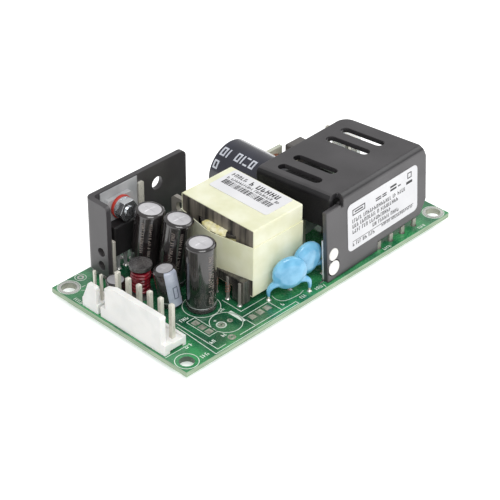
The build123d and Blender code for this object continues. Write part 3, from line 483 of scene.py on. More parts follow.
def maskFinish(name, look):
    # green solder mask over copper areas, with thin lines between them, and painted shade between
    # the capacitors
    material = makeFinish(name, *look["base"])
    tree = material.node_tree
    place = objectPlace(tree, (1, 1, 0))
    cells = addNode(tree, "TexVoronoi", {"feature": "DISTANCE_TO_EDGE"}, Vector=place,
                    Scale=1 / (look["area"] * mm), Randomness=look["uneven"])
    gap = spread(tree, cells.outputs["Distance"], look["gapShare"], 0.0, *look["gapEdge"])
    lumps = cloud(tree, place, look["lumps"], 1.0)
    broad = spread(tree, lumps, 0.0, 1.0, *look["lumpEdge"])
    shades = []
    for low, high in (look["base"][:2], look["dark"]):
        shades.append(ramp(tree, broad, [(0.0, tone(*low)), (1.0, tone(*high))]))
    # painted shade: darker in the listed area between the capacitors
    spots = addNode(tree, "SeparateXYZ", Vector=place)
    shadeAmount = look["shadeShare"]
    for axis, start, end in look["shadedArea"]:
        edge = spread(tree, spots.outputs[axis], 0.0, 1.0, start * mm, end * mm)
        shadeAmount = combine(tree, "MULTIPLY", edge, shadeAmount)
    green = blend(tree, gap, shades[0], tone(*look["gap"]))
    colour = blend(tree, shadeAmount, green, shades[1])
    tree.links.new(colour, tree.nodes["Principled BSDF"].inputs["Base Color"])
    return material


# painted shade between the capacitors: where it ends, by axis, from one side to the other, in
# millimetres
maskLook = {"base": ((34, 112, 70), (62, 150, 92), (0.2, 0.32), {"grain": 0.6, "coat": 0.8}),
            "gap": (44, 124, 78), "gapShare": 0.8, "gapEdge": (0.012, 0.035),
            "area": 6.0, "uneven": 0.8, "lumps": 6.0, "lumpEdge": (0.4, 0.6),
            "dark": ((16, 74, 50), (34, 100, 66)), "shadeShare": 0.85,
            "shadedArea": (("X", -41.5, -38.5), ("X", -11.0, -15.0), ("Y", -25.0, -21.5))}
finish["mask"] = maskFinish("mask", maskLook)
print("finishes made:", len(finish))

# plain nodes: their finish and small edge radius in millimetres
softPieces = {
    "output_header_housing": ("nylon", 0.16), "auxiliary_header_housing": ("nylon", 0.12),
    "inlet_header_housing": ("nylon", 0.16), "output_header_pins": ("tin", 0.08),
    "auxiliary_header_pins": ("tin", 0.05), "inlet_header_pins": ("tin", 0.08),
    "output_heatsink": ("blackSheet", 0.16), "primary_cover": ("blackSheet", 0.25),
    "output_heatsink_tab": ("tin", 0.06), "primary_cover_tab": ("brightTin", 0.06),
    "ground_strap": ("tin", 0.06), "clamp_screw": ("zinc", 0.06),
    "lock_washer": ("zinc", 0.06), "hex_nut": ("zinc", 0.12),
    "shoulder_washer": ("redPlastic", 0.1), "insulating_pad": ("padCloth", 0.04),
    "output_rectifier_body": ("epoxy", 0.1), "standing_transistor_body": ("epoxy", 0.1),
    "switching_transistor_body": ("epoxy", 0.1), "bridge_rectifier_body": ("epoxy", 0.15),
    "output_rectifier_leadframe": ("tabMetal", 0.06),
    "standing_transistor_leadframe": ("dullLead", 0.06),
    "switching_transistor_leadframe": ("tin", 0.06), "bridge_rectifier_leads": ("dullLead", 0.08),
    "capacitor_leads": ("tin", 0.08), "primary_part_leads": ("tin", 0.08),
    "disc_capacitor_leads": ("tin", 0.08), "transformer_pins": ("dullLead", 0.08),
    "transformer_bobbin": ("phenolic", 0.12), "transformer_core_upper": ("ferrite", 0.15),
    "transformer_core_lower": ("ferrite", 0.15), "transformer_core_tape": ("creamTape", 0),
    "transformer_belt_tape": ("creamTape", 0), "transformer_label": ("paper", 0.04),
    "cover_label": ("paper", 0.04), "drum_inductor_core": ("drumCore", 0.12),
    "line_choke_bobbin": ("bobbinPale", 0.1), "line_choke_windings": ("copperWire", 0.1),
    "boxed_capacitor": ("greyBox", 0.15), "line_fuse": ("brownCase", 0.15),
    "inrush_thermistor": ("greenCoat", 0.2), "surface_parts": ("epoxy", 0.06),
    "bulk_capacitor_can": ("canTop", 0.1),
    "output_capacitor_a_can": ("canTop", 0.08), "output_capacitor_b_can": ("canTop", 0.08),
    "output_capacitor_c_can": ("canTop", 0.08), "striped_capacitor_can": ("canTop", 0.08),
    "solder_joints": ("solder", 0.1), "transformer_winding": ("yellowTape", 0.1),
}
dressed = {}
for node, (look, width) in softPieces.items():
    dressed[node] = softNode(node, look, width)
print("softened nodes:", len(dressed))

# painted shade on the cover: darker copies of its black finish on its recessed front, its side by
# the transformer and its long bend
# finish, then limits of the normal's x, y and z, and of the place's x and y in millimetres
coverFaces = (("recess", (-2, 2), (-2, -0.45), (-2, 2), (-99, 20.8), (-21.8, 99)),
              ("recess", (-2, -0.6), (-2, 2), (-2, 2), (-99, 8), (-22, 99)),
              ("bend", (-2, 2), (-0.9, -0.25), (0.3, 2), (-99, 99), (-99, -20)))


def shadeCover(piece):
    for look, *limits in coverFaces:
        paintFaces(piece, look, lambda spot, normal: all(
            low < value < high for value, (low, high) in zip((*normal, spot.x, spot.y), limits)))


shadeCover(dressed["primary_cover"])
print("cover shaded")

# the dipped disc capacitors
discLook = {"finish": "blueDip", "voxel": 0.3, "factor": 0.5, "rounds": 7}
for node in ("front_disc_capacitor", "rear_disc_capacitor"):
    meltedNode(node, discLook)
print("disc capacitors dipped")

# circuit board: mask on the faces, bare edge, plated mounting holes
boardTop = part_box("circuit_board")[1][2] / mm
boardLook = {"edgeX": 50.7, "edgeY": 25.3, "edgeSoft": 0.06, "edgeAngle": 60, "lift": 0.03,
             "holeX": 47.625, "holeY": 22.225, "holeRadius": 2.6, "maskedBelow": -60,
             "tinned": ((-1, 1), (1, -1), (1, 1)), "padIn": 2.06, "padOut": 2.85}
padLook = {"half": 0.95, "square": [(-35.1, -12.45), (-35.1, -14.9), (-35.1, -17.35),
                                    (-22.9, -20.7), (-20.05, -20.7), (-17.4, -20.7)],
           "round": [(-31.0, -17.6, 0.9), (-28.1, -17.8, 0.8), (-32.7, -23.1, 1.1)],
           "hole": 0.3, "lone": (-42.5, 23.5, 0.45, 0.95)}


def dressBoard():
    look = boardLook

    def onEdge(edge):
        return all(abs(v.co.x) > look["edgeX"] * mm or abs(v.co.y) > look["edgeY"] * mm
                   for v in edge.verts)
    bm = cleanCopy("circuit_board")
    softenEdges(bm, look["edgeSoft"], 1, look["edgeAngle"], onEdge)
    piece = addPiece("circuit_board_dressed", bm, "mask")
    evenNormals(piece)
    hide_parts("circuit_board")

    def inHole(spot, normal):
        away = (abs(spot.x) - look["holeX"], abs(spot.y) - look["holeY"])
        return abs(normal.z) < 0.5 and math.hypot(*away) < look["holeRadius"]
    paintFaces(piece, "bareLaminate",
               lambda spot, normal: abs(normal.z) < 0.5 and not inHole(spot, normal))
    paintFaces(piece, "platedHole", inHole)
    paintFaces(piece, "maskedHole",
               lambda spot, normal: inHole(spot, normal) and spot.x + spot.y < look["maskedBelow"])


def flatRing(bm, x, y, inner, outer, z, steps=40):
    rings = []
    for radius in (inner, outer):
        rings.append([bm.verts.new((px * mm, py * mm, z * mm))
                      for px, py in circle(x, y, radius, steps)[:-1]])
    for k in range(steps):
        n = (k + 1) % steps
        bm.faces.new((rings[0][k], rings[1][k], rings[1][n], rings[0][n]))


def tinnedPads():
    # thin tinned lands, level with the mask, at the holes and the empty places
    bm = bmesh.new()
    z = boardTop + boardLook["lift"]
    for sx, sy in boardLook["tinned"]:
        flatRing(bm, sx * boardLook["holeX"], sy * boardLook["holeY"],
                 boardLook["padIn"], boardLook["padOut"], z)
    flatRing(bm, *padLook["lone"], z)
    addPiece("tinned_lands", bm, "solder")
    bm = bmesh.new()
    spot = flatPrint((0, 0, z), (1, 0, 0), (0, 1, 0))
    half = padLook["half"]
    for x, y in padLook["square"]:
        mark(bm, spot, x - half, y - half, x + half, y + half)
    for x, y, radius in padLook["round"]:
        flatRing(bm, x, y, radius * padLook["hole"], radius, z, 20)
    addPiece("empty_lands", bm, "dullPad")


silkLook = {
    "width": 0.2, "level": 1.5, "seed": 40,
    "lines": [
        [(-39.63, -10.36), (-40.43, -25.2), (-10.2, -25.2), (-10.3, -23.9)],
        [(-38.67, -8.92), (-38.74, -24.1), (-35.8, -24.1)],
        [(-30.65, -23.9), (-10.5, -24.1)],
        [(-23.3, -10.1), (-23.35, -17.1), (-14.2, -17.2)],
        [(-50.5, -17.5), (-42.6, -17.7)],
        [(-36.6, -10.6), (-33.6, -10.6), (-33.6, -18.9), (-36.6, -18.9), (-36.6, -10.6)],
        [(-25.0, -24.0), (-25.0, -19.1), (-15.4, -19.1), (-15.4, -24.0)],
        [(-12.8, -18.0), (-13.2, -19.6), (-12.9, -21.0), (-11.9, -21.9), (-10.4, -22.3),
         (-8.6, -22.5), (-7.0, -22.6), (-5.2, -22.1)],
        [(0.5, -23.8), (0.2, -25.2)],
        [(-46.2, 19.0), (-44.2, 16.6), (-43.9, 12.2)], [(-40.2, 20.6), (-37.2, 24.6)],
        [(44.6, 3.2), (49.8, 3.2), (49.8, 21.2), (44.6, 21.2)],
        [(18.0, 3.6), (18.0, 24.4), (22.6, 24.4)], [(44.2, -8.0), (44.2, -1.0), (49.4, -1.0)],
    ],
    "circles": [(-29.4, -17.7, 4.3), (-28.9, -8.2, 5.0), (-47.625, -22.225, 3.06),
                (-42.5, 23.5, 1.5), (-47.625, 22.225, 3.06), (47.625, -22.225, 3.06),
                (-31.0, -17.6, 1.3), (-31.0, -17.6, 1.15)],
    "bars": [(-26.2, -20.6, -24.9, -15.0), (-31.35, -15.35, -30.5, -15.15),
             (-31.03, -15.65, -30.83, -14.8)],
    # start, direction in degrees, length and height of the part numbers' places
    "marks": [(-44.2, -18.6, 0, 2.4, 1.2), (-44.0, -24.2, 0, 2.2, 1.2),
              (-38.3, -21.6, 0, 3.0, 1.1), (-34.8, -21.6, 0, 2.4, 1.1), (-27.2, -13.6, 0, 2.2, 1.1),
              (-13.9, -23.0, 0, 2.3, 1.1), (-8.2, -24.4, 0, 2.2, 1.1), (-2.6, -24.6, 0, 2.2, 1.1),
              (-50.4, 17.4, 270, 3.6, 1.1), (-45.2, 20.6, 270, 2.2, 1.1),
              (-37.4, -9.8, 0, 3.0, 1.2), (24.0, -25.0, 0, 3.0, 1.0), (38.6, -25.0, 0, 3.2, 1.0),
              (45.0, -6.0, 90, 3.0, 1.2)],
}


def silkscreen():
    bm = bmesh.new()
    top = boardTop + boardLook["lift"] * silkLook["level"]
    spot = flatPrint((0, 0, top), (1, 0, 0), (0, 1, 0))
    for line in silkLook["lines"]:
        stroke(bm, spot, line, silkLook["width"])
    for x, y, radius in silkLook["circles"]:
        stroke(bm, spot, circle(x, y, radius), silkLook["width"])
    for bar in silkLook["bars"]:
        mark(bm, spot, *bar)
    for k, (x, y, turn, long, high) in enumerate(silkLook["marks"]):
        a = math.radians(turn)
        across = (math.cos(a), math.sin(a), 0)
        upward = (-math.sin(a), math.cos(a), 0)
        place = flatPrint((x, y, top), across, upward)
        plainPrint(bm, place, 0, long, 0, high, silkLook["seed"] + k)
    addPiece("board_print", bm, "silkInk")


dressBoard()
tinnedPads()
silkscreen()
print("board dressed")

# solder that rises round the leads on the upper face
# cone: skirt's width and rise, neck's width, more width and rise, top's width
filletLook = {"rise": 0.5, "foot": 0.42, "sunk": -0.02, "below": 0.3, "apart": 1.6,
              "skirt": (0.82, 0.16), "neck": (0.9, 0.12, 0.55), "top": 0.6,
              "nodes": ("transformer_pins", "output_rectifier_leadframe", "ground_strap",
                        "disc_capacitor_leads", "output_heatsink_tab"),
              "spots": [(-31.09, 22.21), (-28.78, 22.57), (-32.4, 19.57), (-29.48, 19.62),
                        (-26.98, 20.77)],
              "spotProfile": [(0.62, -0.02), (0.54, 0.22), (0.3, 0.46), (0, 0.54)]}


def leadFeet(node):
    # middle and half width, in metres, where each lead of a node crosses the board
    bm = cleanCopy(node)
    seen, feet = set(), []
    for start in bm.verts:
        if start in seen:
            continue
        group, edge = [], [start]
        seen.add(start)
        while edge:
            here = edge.pop()
            group.append(here)
            for link in here.link_edges:
                other = link.other_vert(here)
                if other not in seen:
                    seen.add(other)
                    edge.append(other)
        low = [v.co for v in group if v.co.z < filletLook["below"] * mm]
        clusters = []
        for spot in low:
            for cluster in clusters:
                if (spot - cluster[0]).length < filletLook["apart"] * mm:
                    cluster.append(spot)
                    break
            else:
                clusters.append([spot])
        for cluster in clusters:
            xs = [c.x for c in cluster]
            ys = [c.y for c in cluster]
            feet.append(((min(xs) + max(xs)) / 2, (min(ys) + max(ys)) / 2,
                         max(max(xs) - min(xs), max(ys) - min(ys)) / 2))
    bm.free()
    return feet


def topSolder():
    # hollow cones from the lands up to the leads, and plain mounds at the spots
    look = filletLook
    bm = bmesh.new()
    rise = look["rise"]
    skirt, skirtUp = look["skirt"]
    neck, more, neckUp = look["neck"]
    for node in look["nodes"]:
        for x, y, half in leadFeet(node):
            reach = half / mm
            wide = reach + look["foot"]
            profile = [(wide, look["sunk"]), (wide * skirt, rise * skirtUp),
                       (reach * neck + more, rise * neckUp), (reach * look["top"], rise),
                       (0, rise)]
            lathe(bm, profile, 18, Matrix.Translation((x, y, boardTop * mm)))
    for x, y in look["spots"]:
        place = Matrix.Translation((x * mm, y * mm, boardTop * mm))
        lathe(bm, look["spotProfile"], 16, place)
    addPiece("top_solder", bm, "solder", 60)


topSolder()
print("upper solder placed")

# can capacitors: sleeves, print columns, stripe and low can
# standing and lying cans, by the start of their nodes' names
sleeveLook = {"groove": 0.2, "grooveAt": 1.5, "arc": 7, "bulge": 0.65, "steps": 64,
              "grooveShape": ((-0.5, 0), (-0.25, 0.6), (0, 1), (0.25, 0.6), (0.5, 0)),
              "thick": 0.15, "lipRoll": (0.05, 0.06), "rings": (0.4, 0.7), "straight": 0.4,
              "nearTop": 0.05, "nearSide": 0.02,
              "standing": ("output_capacitor_a", "output_capacitor_b", "output_capacitor_c",
                           "striped_capacitor"), "lying": "bulk_capacitor"}


def rolledEdge(radius, shoulder, corner):
    # profile points of the rim, rounder than a plain chamfer by the bulge
    out = []
    for k in range(sleeveLook["arc"] + 1):
        a = math.pi / 2 * k / sleeveLook["arc"]
        flat, full = k / sleeveLook["arc"], sleeveLook["bulge"]
        inward = (1 - math.cos(a)) * full + flat * (1 - full)
        upward = math.sin(a) * full + flat * (1 - full)
        out.append((radius - corner * inward, shoulder + corner * upward))
    return out


def turnSleeve(kind, way, finishName):
    # a shrunk sleeve turned round, with the rolled edge of the can at the top
    look = sleeveLook
    foot, down = facePlace(kind + "_can", way)
    spots = []
    for v in nodes[kind + "_sleeve"].data.vertices:
        away = v.co / mm - foot
        height = -away.dot(down)
        spots.append(((away + down * height).length, height))
    radius = max(r for r, h in spots)
    top = max(h for r, h in spots)
    low = min(h for r, h in spots)
    lip = min(r for r, h in spots if h > top - look["nearTop"])
    shoulder = max(h for r, h in spots if r > radius - look["nearSide"])
    profile = [(radius - look["thick"], low), (radius, low)]
    if kind in look["standing"]:
        for step, cut in look["grooveShape"]:
            profile.append((radius - look["groove"] * cut, look["grooveAt"] + step))
    profile += [(radius, shoulder * share) for share in look["rings"]]
    profile.append((radius, shoulder - look["straight"]))
    profile += rolledEdge(radius, shoulder, top - shoulder)
    roll, drop = look["lipRoll"]
    profile += [(lip + roll, top), (lip, top - drop), (lip, top - look["thick"])]
    place = Matrix.Translation(foot * mm) @ (-down).to_track_quat("Z", "Y").to_matrix().to_4x4()
    bm = bmesh.new()
    lathe(bm, profile, look["steps"], place)
    piece = addPiece(kind + "_sleeve_turned", bm, finishName, 50)
    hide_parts(kind + "_sleeve")


# each can's two print columns, by their angles in degrees
columnLook = {"radius": 4.0, "start": 1.2, "end": 18.0, "widths": (0.95, 0.75), "seed": 45,
              "angles": {"output_capacitor_a": (-158, -127), "output_capacitor_b": (-152, -120),
                         "output_capacitor_c": (-99, -86)}}


def printSleeves():
    look = columnLook
    for kind, angles in look["angles"].items():
        foot, down = facePlace(kind + "_can", (0, 0, -1))
        bm = bmesh.new()
        for k, (angle, high) in enumerate(zip(angles, look["widths"])):
            spot = roundPrint(foot, -down, look["radius"] + printLook["sleeveLift"], angle)
            plainPrint(bm, spot, look["start"], look["end"], -high / 2, high, look["seed"] + k)
        addPiece(kind + "_print", bm, "sleevePrint")


# mark: start, end and angle
stripeLook = {"node": "striped_capacitor_can", "radius": 3.15, "height": 10.6, "lift": 0.05,
              "start": 0.3, "rings": (0.35, 0.7), "angles": (-137, -66), "steps": 14,
              "corner": 0.64, "above": 0.2, "mark": (2.6, 6.2, -96), "markHalf": 0.75,
              "markLine": 0.25}


def stripedSleeve():
    look = stripeLook
    foot, down = facePlace(look["node"], (0, 0, -1))
    bm = bmesh.new()
    r, h, corner = look["radius"] + look["lift"], look["height"], look["corner"]
    profile = [(r, look["start"])] + [(r, h * share) for share in look["rings"]]
    profile += rolledEdge(r, h + look["above"] - corner, corner)
    start, end = look["angles"]
    rows = []
    for radius, z in profile:
        row = []
        for k in range(look["steps"] + 1):
            angle = start + (end - start) * k / look["steps"]
            row.append(bm.verts.new(roundPrint(foot, -down, radius, angle)(z, 0)))
        rows.append(row)
    joinRows(bm, rows)
    addPiece("striped_capacitor_band", bm, "stripePrint", 60)
    bm = bmesh.new()
    low, high, angle = look["mark"]
    half, line = look["markHalf"], look["markLine"]
    inner = half - line
    spot = roundPrint(foot, -down, r + printLook["sleeveLift"], angle)
    for x0, x1, y0, y1 in ((low, high, -half, -inner), (low, high, inner, half),
                           (low, low + line, -inner, inner), (high - line, high, -inner, inner)):
        mark(bm, spot, x0, y0, x1, y1, 3)
    addPiece("striped_capacitor_mark", bm, "stripeMark")


# lip, roll and groove: inward; top: inward from the lip and down, out to in
lowCanLook = {"roll": 0.26, "rollBulge": 0.3, "lip": 0.42, "lipDrop": 0.04, "deep": 0.3,
              "groove": 0.35, "grooveAt": (0.7, 1.1, 1.5), "top": ((0, 0.14), (0.15, 0.08)),
              "middle": 0.06, "steps": 40}


def lowCan():
    look = lowCanLook
    low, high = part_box("low_capacitor_can")
    x, y = (low[0] + high[0]) / 2, (low[1] + high[1]) / 2
    r, h = (high[0] - low[0]) / 2 / mm, (high[2] - low[2]) / mm
    roll, lip = look["roll"], look["lip"]
    under, deepest, over = look["grooveAt"]
    place = Matrix.Translation((x, y, low[2]))
    bm = bmesh.new()
    bulge = roll * look["rollBulge"]
    side = [(0, 0), (r, 0), (r, under), (r - look["groove"], deepest), (r, over), (r, h - roll),
            (r - bulge, h - bulge), (r - roll, h), (r - lip, h - look["lipDrop"]),
            (r - lip, h - look["deep"])]
    lathe(bm, side, look["steps"], place)
    black = addPiece("low_capacitor_sleeve", bm, "sleeve")
    bm = bmesh.new()
    top = [(r - lip, h - look["deep"])]
    top += [(r - lip - inward, h - down) for inward, down in look["top"]]
    lathe(bm, top + [(0, h - look["middle"])], look["steps"], place)
    addPiece("low_capacitor_top", bm, "canTop")
    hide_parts("low_capacitor_can")


for kind in sleeveLook["standing"]:
    turnSleeve(kind, (0, 0, -1), "sleeve")
turnSleeve(sleeveLook["lying"], (0, 1, 0), "bulkSleeve")
printSleeves()
stripedSleeve()
lowCan()
print("can capacitors printed")

# drum inductor winding: two layers of enamelled wire round a plain core
# each layer: start in degrees, part of the turns, depth below the outer radius
drumLook = {"wire": 0.42, "turns": 7.4, "radius": 2.26, "wander": 0.34, "rim": 1.15, "seed": 7,
            "layers": ((0, 1, 0), (140, 0.8, 0.42)), "perTurn": 26, "lumps": 22,
            "hole": 1.35, "inner": 0.5}


def drumWinding():
    low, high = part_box("drum_inductor_core")
    x, y = (low[0] + high[0]) / 2 / mm, (low[1] + high[1]) / 2 / mm
    look, wire = drumLook, drumLook["wire"]
    z0, z1 = low[2] / mm + look["rim"] + wire, high[2] / mm - look["rim"] - wire
    draw = random.Random(look["seed"])
    sway = [draw.uniform(-1, 1) for k in range(look["lumps"] + 2)]
    bm = bmesh.new()
    for start, share, deep in look["layers"]:
        turns, radius = look["turns"] * share, look["radius"] - deep
        points = []
        steps = int(turns * look["perTurn"])
        for k in range(steps + 1):
            t = k / steps
            a = math.radians(start) + turns * 2 * math.pi * t
            lump, part = int(t * look["lumps"]), (t * look["lumps"]) % 1
            bump = sway[lump] * (1 - part) + sway[lump + 1] * part
            r = radius + look["wander"] * bump
            z = z0 + (z1 - z0) * t + look["wander"] * bump * math.sin(a)
            points.append((x + r * math.cos(a), y + r * math.sin(a), min(z1, max(z0, z))))
        tube(bm, points, wire)
    hole, inner = look["hole"], look["radius"] - look["inner"]
    core = [(hole, z0 - wire), (inner, z0 - wire), (inner, z1 + wire), (hole, z1 + wire)]
    lathe(bm, core, 30, Matrix.Translation((x * mm, y * mm, 0)))
    piece = addPiece("drum_wire", bm, "crimson", 70)
    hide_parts("drum_inductor_winding")


drumWinding()
print("drum wound")

# transformer: loose yellow tape over the flange, wire ends, label print
# profile: radius from the winding's middle, and height
tapeLook = {"angles": (158, 203), "profile": [(8.4, 20.25), (9.2, 20.2), (10.0, 20.15),
                                              (10.7, 20.05), (11.1, 19.8), (11.32, 19.3)],
            "steps": 40, "finer": 3, "crumple": 0.22, "grain": 0.9, "noiseScale": (11, 1.6),
            "noiseShift": (9, 3, 5), "outward": 0.5, "gap": 0.03, "thick": 0.04}


def looseTape():
    low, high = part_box("transformer_bobbin")
    x, y = (low[0] + high[0]) / 2 / mm, (low[1] + high[1]) / 2 / mm
    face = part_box("transformer_core_upper")[0][0] / mm
    look, steps, finer = tapeLook, tapeLook["steps"], tapeLook["finer"]
    start, end = look["angles"]
    around, outward = look["noiseScale"]
    profile = look["profile"]
    fine = []
    for (r0, z0), (r1, z1) in zip(profile, profile[1:]):
        for k in range(finer):
            fine.append((r0 + (r1 - r0) * k / finer, z0 + (z1 - z0) * k / finer))
    fine.append(profile[-1])
    rows = []
    bm = bmesh.new()
    for radius, z in fine:
        row = []
        for k in range(steps + 1):
            a = math.radians(start + (end - start) * k / steps)
            seed = Vector((a * around, radius * outward, z)) / look["grain"]
            push = noise.noise(seed) * look["crumple"]
            lift = noise.noise(seed + Vector(look["noiseShift"])) * look["crumple"]
            r = radius + push * look["outward"]
            px = min(x + r * math.cos(a), face - look["gap"])
            row.append(bm.verts.new((px * mm, (y + r * math.sin(a)) * mm, (z + lift) * mm)))
        rows.append(row)
    joinRows(bm, rows)
    piece = addPiece("transformer_loose_tape", bm, "yellowTape", 30)
    shell = piece.modifiers.new("shell", "SOLIDIFY")
    shell.thickness = look["thick"] * mm
    applyModifiers(piece)


# lead away: part of the way to the core, rise and sideways step
wireEnds = {"radius": 0.17, "wrap": 0.56, "turns": 3.5, "perTurn": 14, "low": 3.6, "high": 6.6,
            "pins": (1, 2), "openSide": -15, "into": 0.4,
            "leadAway": ((0.3, 0.5, 0.5), (0.6, 1.1, 0.7), (1.0, 1.5, 0.4))}


def bobbinWires():
    # winding ends wrapped round two of the pins on the open side
    look, wrap = wireEnds, wireEnds["wrap"]
    feet = sorted((y / mm, x / mm) for x, y, half in leadFeet("transformer_pins")
                  if x / mm < look["openSide"])
    bm = bmesh.new()
    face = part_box("transformer_core_upper")[0][0] / mm
    for k in look["pins"]:
        y, x = feet[k]
        points = []
        steps = int(look["turns"] * look["perTurn"])
        for n in range(steps + 1):
            t = n / steps
            a = 2 * math.pi * look["turns"] * t
            z = look["low"] + (look["high"] - look["low"]) * t
            points.append((x + wrap * math.cos(a), y + wrap * math.sin(a), z))
        px, py, pz = points[-1]
        for t, rise, side in look["leadAway"]:
            points.append((px + (face + look["into"] - px) * t, py + side, pz + rise))
        tube(bm, points, look["radius"])
    addPiece("transformer_wire_ends", bm, "wireEnd", 70)


# each row: start, end, level, height and seed
labelLook = {"rows": [(-9.4, -3.6, 2.3, 1.4, 3), (-2.8, 9.6, 2.0, 1.9, 4),
                      (-9.4, 9.2, 0.55, 1.0, 8)], "barRow": (-9.0, 8.2, -2.0, 2.1, 12)}


def transformerPrint():
    middle, normal = facePlace("transformer_label", (0, 0, 1))
    spot = flatPrint(middle + normal * printLook["labelLift"], (0, -1, 0), (1, 0, 0))
    bm = bmesh.new()
    for row in labelLook["rows"]:
        plainPrint(bm, spot, *row)
    barRow(bm, spot, *labelLook["barRow"])
    addPiece("transformer_label_print", bm, "labelInk")


looseTape()
bobbinWires()
transformerPrint()
print("transformer dressed")

# cover label print and the bulk capacitor's marks
# each row: start, end, level, height and seed; each bar: two corners
coverPrint = {
    "rows": [(-12.9, 9.8, 1.2, 1.15, 22), (-12.9, 6.4, -0.45, 1.15, 23),
             (-12.9, 3.2, -2.1, 1.15, 24), (-4.6, 6.8, -3.7, 1.1, 25),
             (-12.9, -3.0, -5.9, 1.1, 26), (-0.8, 12.8, -5.4, 0.9, 27)],
    "bars": [(-12.9, -4.55, 12.9, -4.4), (9.8, 2.6, 12.4, 3.4), (-12.8, 3.4, -12.5, 5.2),
             (-12.5, 4.9, -7.6, 5.2), (-12.5, 3.4, -7.6, 3.7), (-7.9, 3.7, -7.6, 4.9),
             (-11.9, 4.1, -8.5, 4.5), (-3.2, 3.4, -0.9, 3.75), (-3.2, 4.0, -0.9, 4.35),
             (-0.4, 3.4, 1.4, 3.75), (-0.4, 4.0, 1.4, 4.35), (3.0, 3.6, 5.6, 4.2),
             (3.0, 4.6, 5.6, 5.2), (6.2, 3.7, 7.4, 4.1), (10.3, 4.2, 10.6, 6.0),
             (11.8, 4.2, 12.1, 6.0), (10.6, 5.7, 11.8, 6.0), (10.6, 4.2, 11.8, 4.5)],
}


def labelPrint():
    middle, normal = facePlace("cover_label", (0, -1, 0))
    right = Vector((0, 0, 1)).cross(normal).normalized()
    up = normal.cross(right)
    spot = flatPrint(middle + normal * printLook["labelLift"], right, up)
    bm = bmesh.new()
    for row in coverPrint["rows"]:
        plainPrint(bm, spot, *row)
    for bar in coverPrint["bars"]:
        mark(bm, spot, *bar)
    addPiece("cover_label_print", bm, "labelInk")


# words: start and end along the can, turn in degrees from its upper line, and height
bulkPrint = {"radius": 8.53, "upper": 90, "line": 0.5, "widths": (1.7, 0.5, 1.4),
             "apart": 0.6, "least": 1.2,
             "words": [(0.6, 4.4, 18, 2.9), (5.8, 14.6, 16, 2.9), (0.4, 3.6, 48, 2.5)]}


def bulkMarks():
    # in turn an outlined box, one upright bar and a pair of level bars
    foot = facePlace("bulk_capacitor_can", (0, 1, 0))[0]
    bm = bmesh.new()
    line = bulkPrint["line"]
    for start, end, turn, high in bulkPrint["words"]:
        spot = roundPrint(foot, (0, -1, 0), bulkPrint["radius"], bulkPrint["upper"] + turn)
        x = start
        kind = 0
        while x < end - bulkPrint["least"]:
            wide = bulkPrint["widths"][kind]
            if kind == 1:
                mark(bm, spot, x, 0, x + line, high, 4)
            else:
                mark(bm, spot, x, 0, x + wide, line)
                mark(bm, spot, x, high - line, x + wide, high)
                if kind == 0:
                    mark(bm, spot, x, line, x + line, high - line, 4)
                    mark(bm, spot, x + wide - line, line, x + wide, high - line, 4)
            x += wide + bulkPrint["apart"]
            kind = (kind + 1) % 3
    addPiece("bulk_capacitor_print", bm, "whitePrint")


# painted shade inside the cover: black sheets by their low and high corners, with the size and
# depth of their waves and their edge radius, in millimetres
shadeSheetLook = {"sheets": [((7.3, -21.75, 4.0), (20.5, -21.5, 23.2)),
                        ((6.9, -21.4, 19.0), (21.6, 2.6, 19.25))],
             "wave": 9, "depth": 0.15, "edge": 0.05}


def coverShadeSheets():
    # painted shade: a black sheet under the cover's recess and top, so the view through the notch
    # reads dark
    bm = bmesh.new()
    for low, high in shadeSheetLook["sheets"]:
        box(bm, low, high)
    for v in bm.verts:
        wave = noise.noise(v.co / mm / shadeSheetLook["wave"])
        v.co += Vector((0, 1, 1)) * wave * shadeSheetLook["depth"] * mm
    softenEdges(bm, shadeSheetLook["edge"], 1)
    addPiece("shade_sheet", bm, "epoxy")


coverShadeSheets()
labelPrint()
bulkMarks()
print("labels printed")

# floor, light and camera
# lamps: place, size and power
studio = {"floorLevel": -1.62, "floorSize": 3000, "floorShades": (0.93, 0.95),
          "floorPatch": 60.0, "floorRough": 0.85, "floorSpecular": 0.2, "floorGlow": 0.5,
          "world": 0.62, "key": ((-260, -420, 620), 500, 3.2),
          "fill": ((520, -160, 420), 500, 1.4)}


def addLamp(name, spot, size, power):
    data = bpy.data.lights.new(name, "AREA")
    data.shape = "SQUARE"
    data.size = size * mm
    data.energy = power
    lamp = addObject(name, data)
    lamp.location = Vector(spot) * mm
    lamp.rotation_euler = (-Vector(spot)).to_track_quat("-Z", "Y").to_euler()


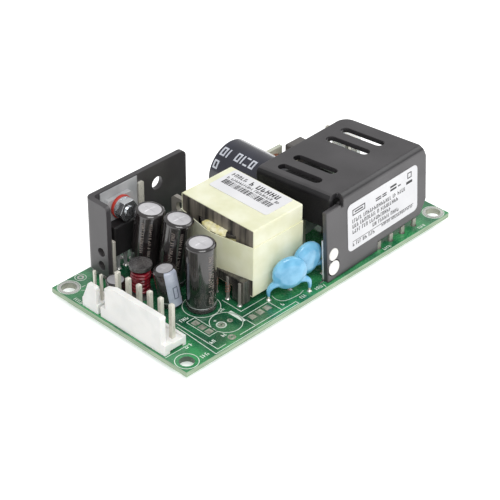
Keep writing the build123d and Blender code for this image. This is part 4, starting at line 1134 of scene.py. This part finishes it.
def buildStudio():
    half = studio["floorSize"] * mm / 2
    z = studio["floorLevel"] * mm
    mesh = bpy.data.meshes.new("floor")
    mesh.from_pydata([(-half, -half, z), (half, -half, z), (half, half, z), (-half, half, z)],
                     [], [(0, 1, 2, 3)])
    floor = addObject("floor", mesh)
    material = bpy.data.materials.new("paleFloor")
    material.use_nodes = True
    tree = material.node_tree
    shader = tree.nodes["Principled BSDF"]
    shader.inputs["Roughness"].default_value = studio["floorRough"]
    shader.inputs["Specular IOR Level"].default_value = studio["floorSpecular"]
    patches = cloud(tree, objectPlace(tree), studio["floorPatch"])
    dim, bright = studio["floorShades"]
    colour = ramp(tree, patches, [(0.3, (dim, dim, dim, 1)), (0.7, (bright, bright, bright, 1))])
    tree.links.new(colour, shader.inputs["Base Color"])
    # the floor shows as white, with the object's shadow, to the camera and in gloss
    path = addNode(tree, "LightPath").outputs
    seen = combine(tree, "MAXIMUM", path["Is Camera Ray"], path["Is Glossy Ray"])
    glow = combine(tree, "MULTIPLY", seen, studio["floorGlow"])
    shader.inputs["Emission Color"].default_value = (1, 1, 1, 1)
    tree.links.new(glow, shader.inputs["Emission Strength"])
    mesh.materials.append(material)
    world = bpy.data.worlds.new("softRoom")
    world.use_nodes = True
    back = world.node_tree.nodes["Background"]
    back.inputs["Color"].default_value = (1, 1, 1, 1)
    back.inputs["Strength"].default_value = studio["world"]
    bpy.context.scene.world = world
    addLamp("keyLamp", *studio["key"])
    addLamp("fillLamp", *studio["fill"])


cameraLook = {"azimuth": -45.87, "elevation": 34.38, "roll": 0.5, "distance": 467.6,
              "lens": 129.6, "sensor": 36, "clip": (0.02, 10), "target": (-12.62, -9.70, 12.0)}


def placeCamera():
    look = cameraLook
    a, e, r = (math.radians(look[key]) for key in ("azimuth", "elevation", "roll"))
    back = Vector((math.sin(a) * math.cos(e), -math.cos(a) * math.cos(e), math.sin(e)))
    right = Vector((math.cos(a), math.sin(a), 0))
    up = back.cross(right)
    across = right * math.cos(r) + up * math.sin(r)
    upward = up * math.cos(r) - right * math.sin(r)
    data = bpy.data.cameras.new("camera")
    data.lens = look["lens"]
    data.sensor_width = look["sensor"]
    data.clip_start, data.clip_end = look["clip"]
    camera = addObject("camera", data)
    spot = Vector(look["target"]) * mm + back * look["distance"] * mm
    turn = Matrix((across, upward, back)).transposed().to_4x4()
    camera.matrix_world = Matrix.Translation(spot) @ turn
    bpy.context.scene.camera = camera


buildStudio()
placeCamera()
bpy.context.scene.view_settings.view_transform = "Standard"
print("studio and camera placed")
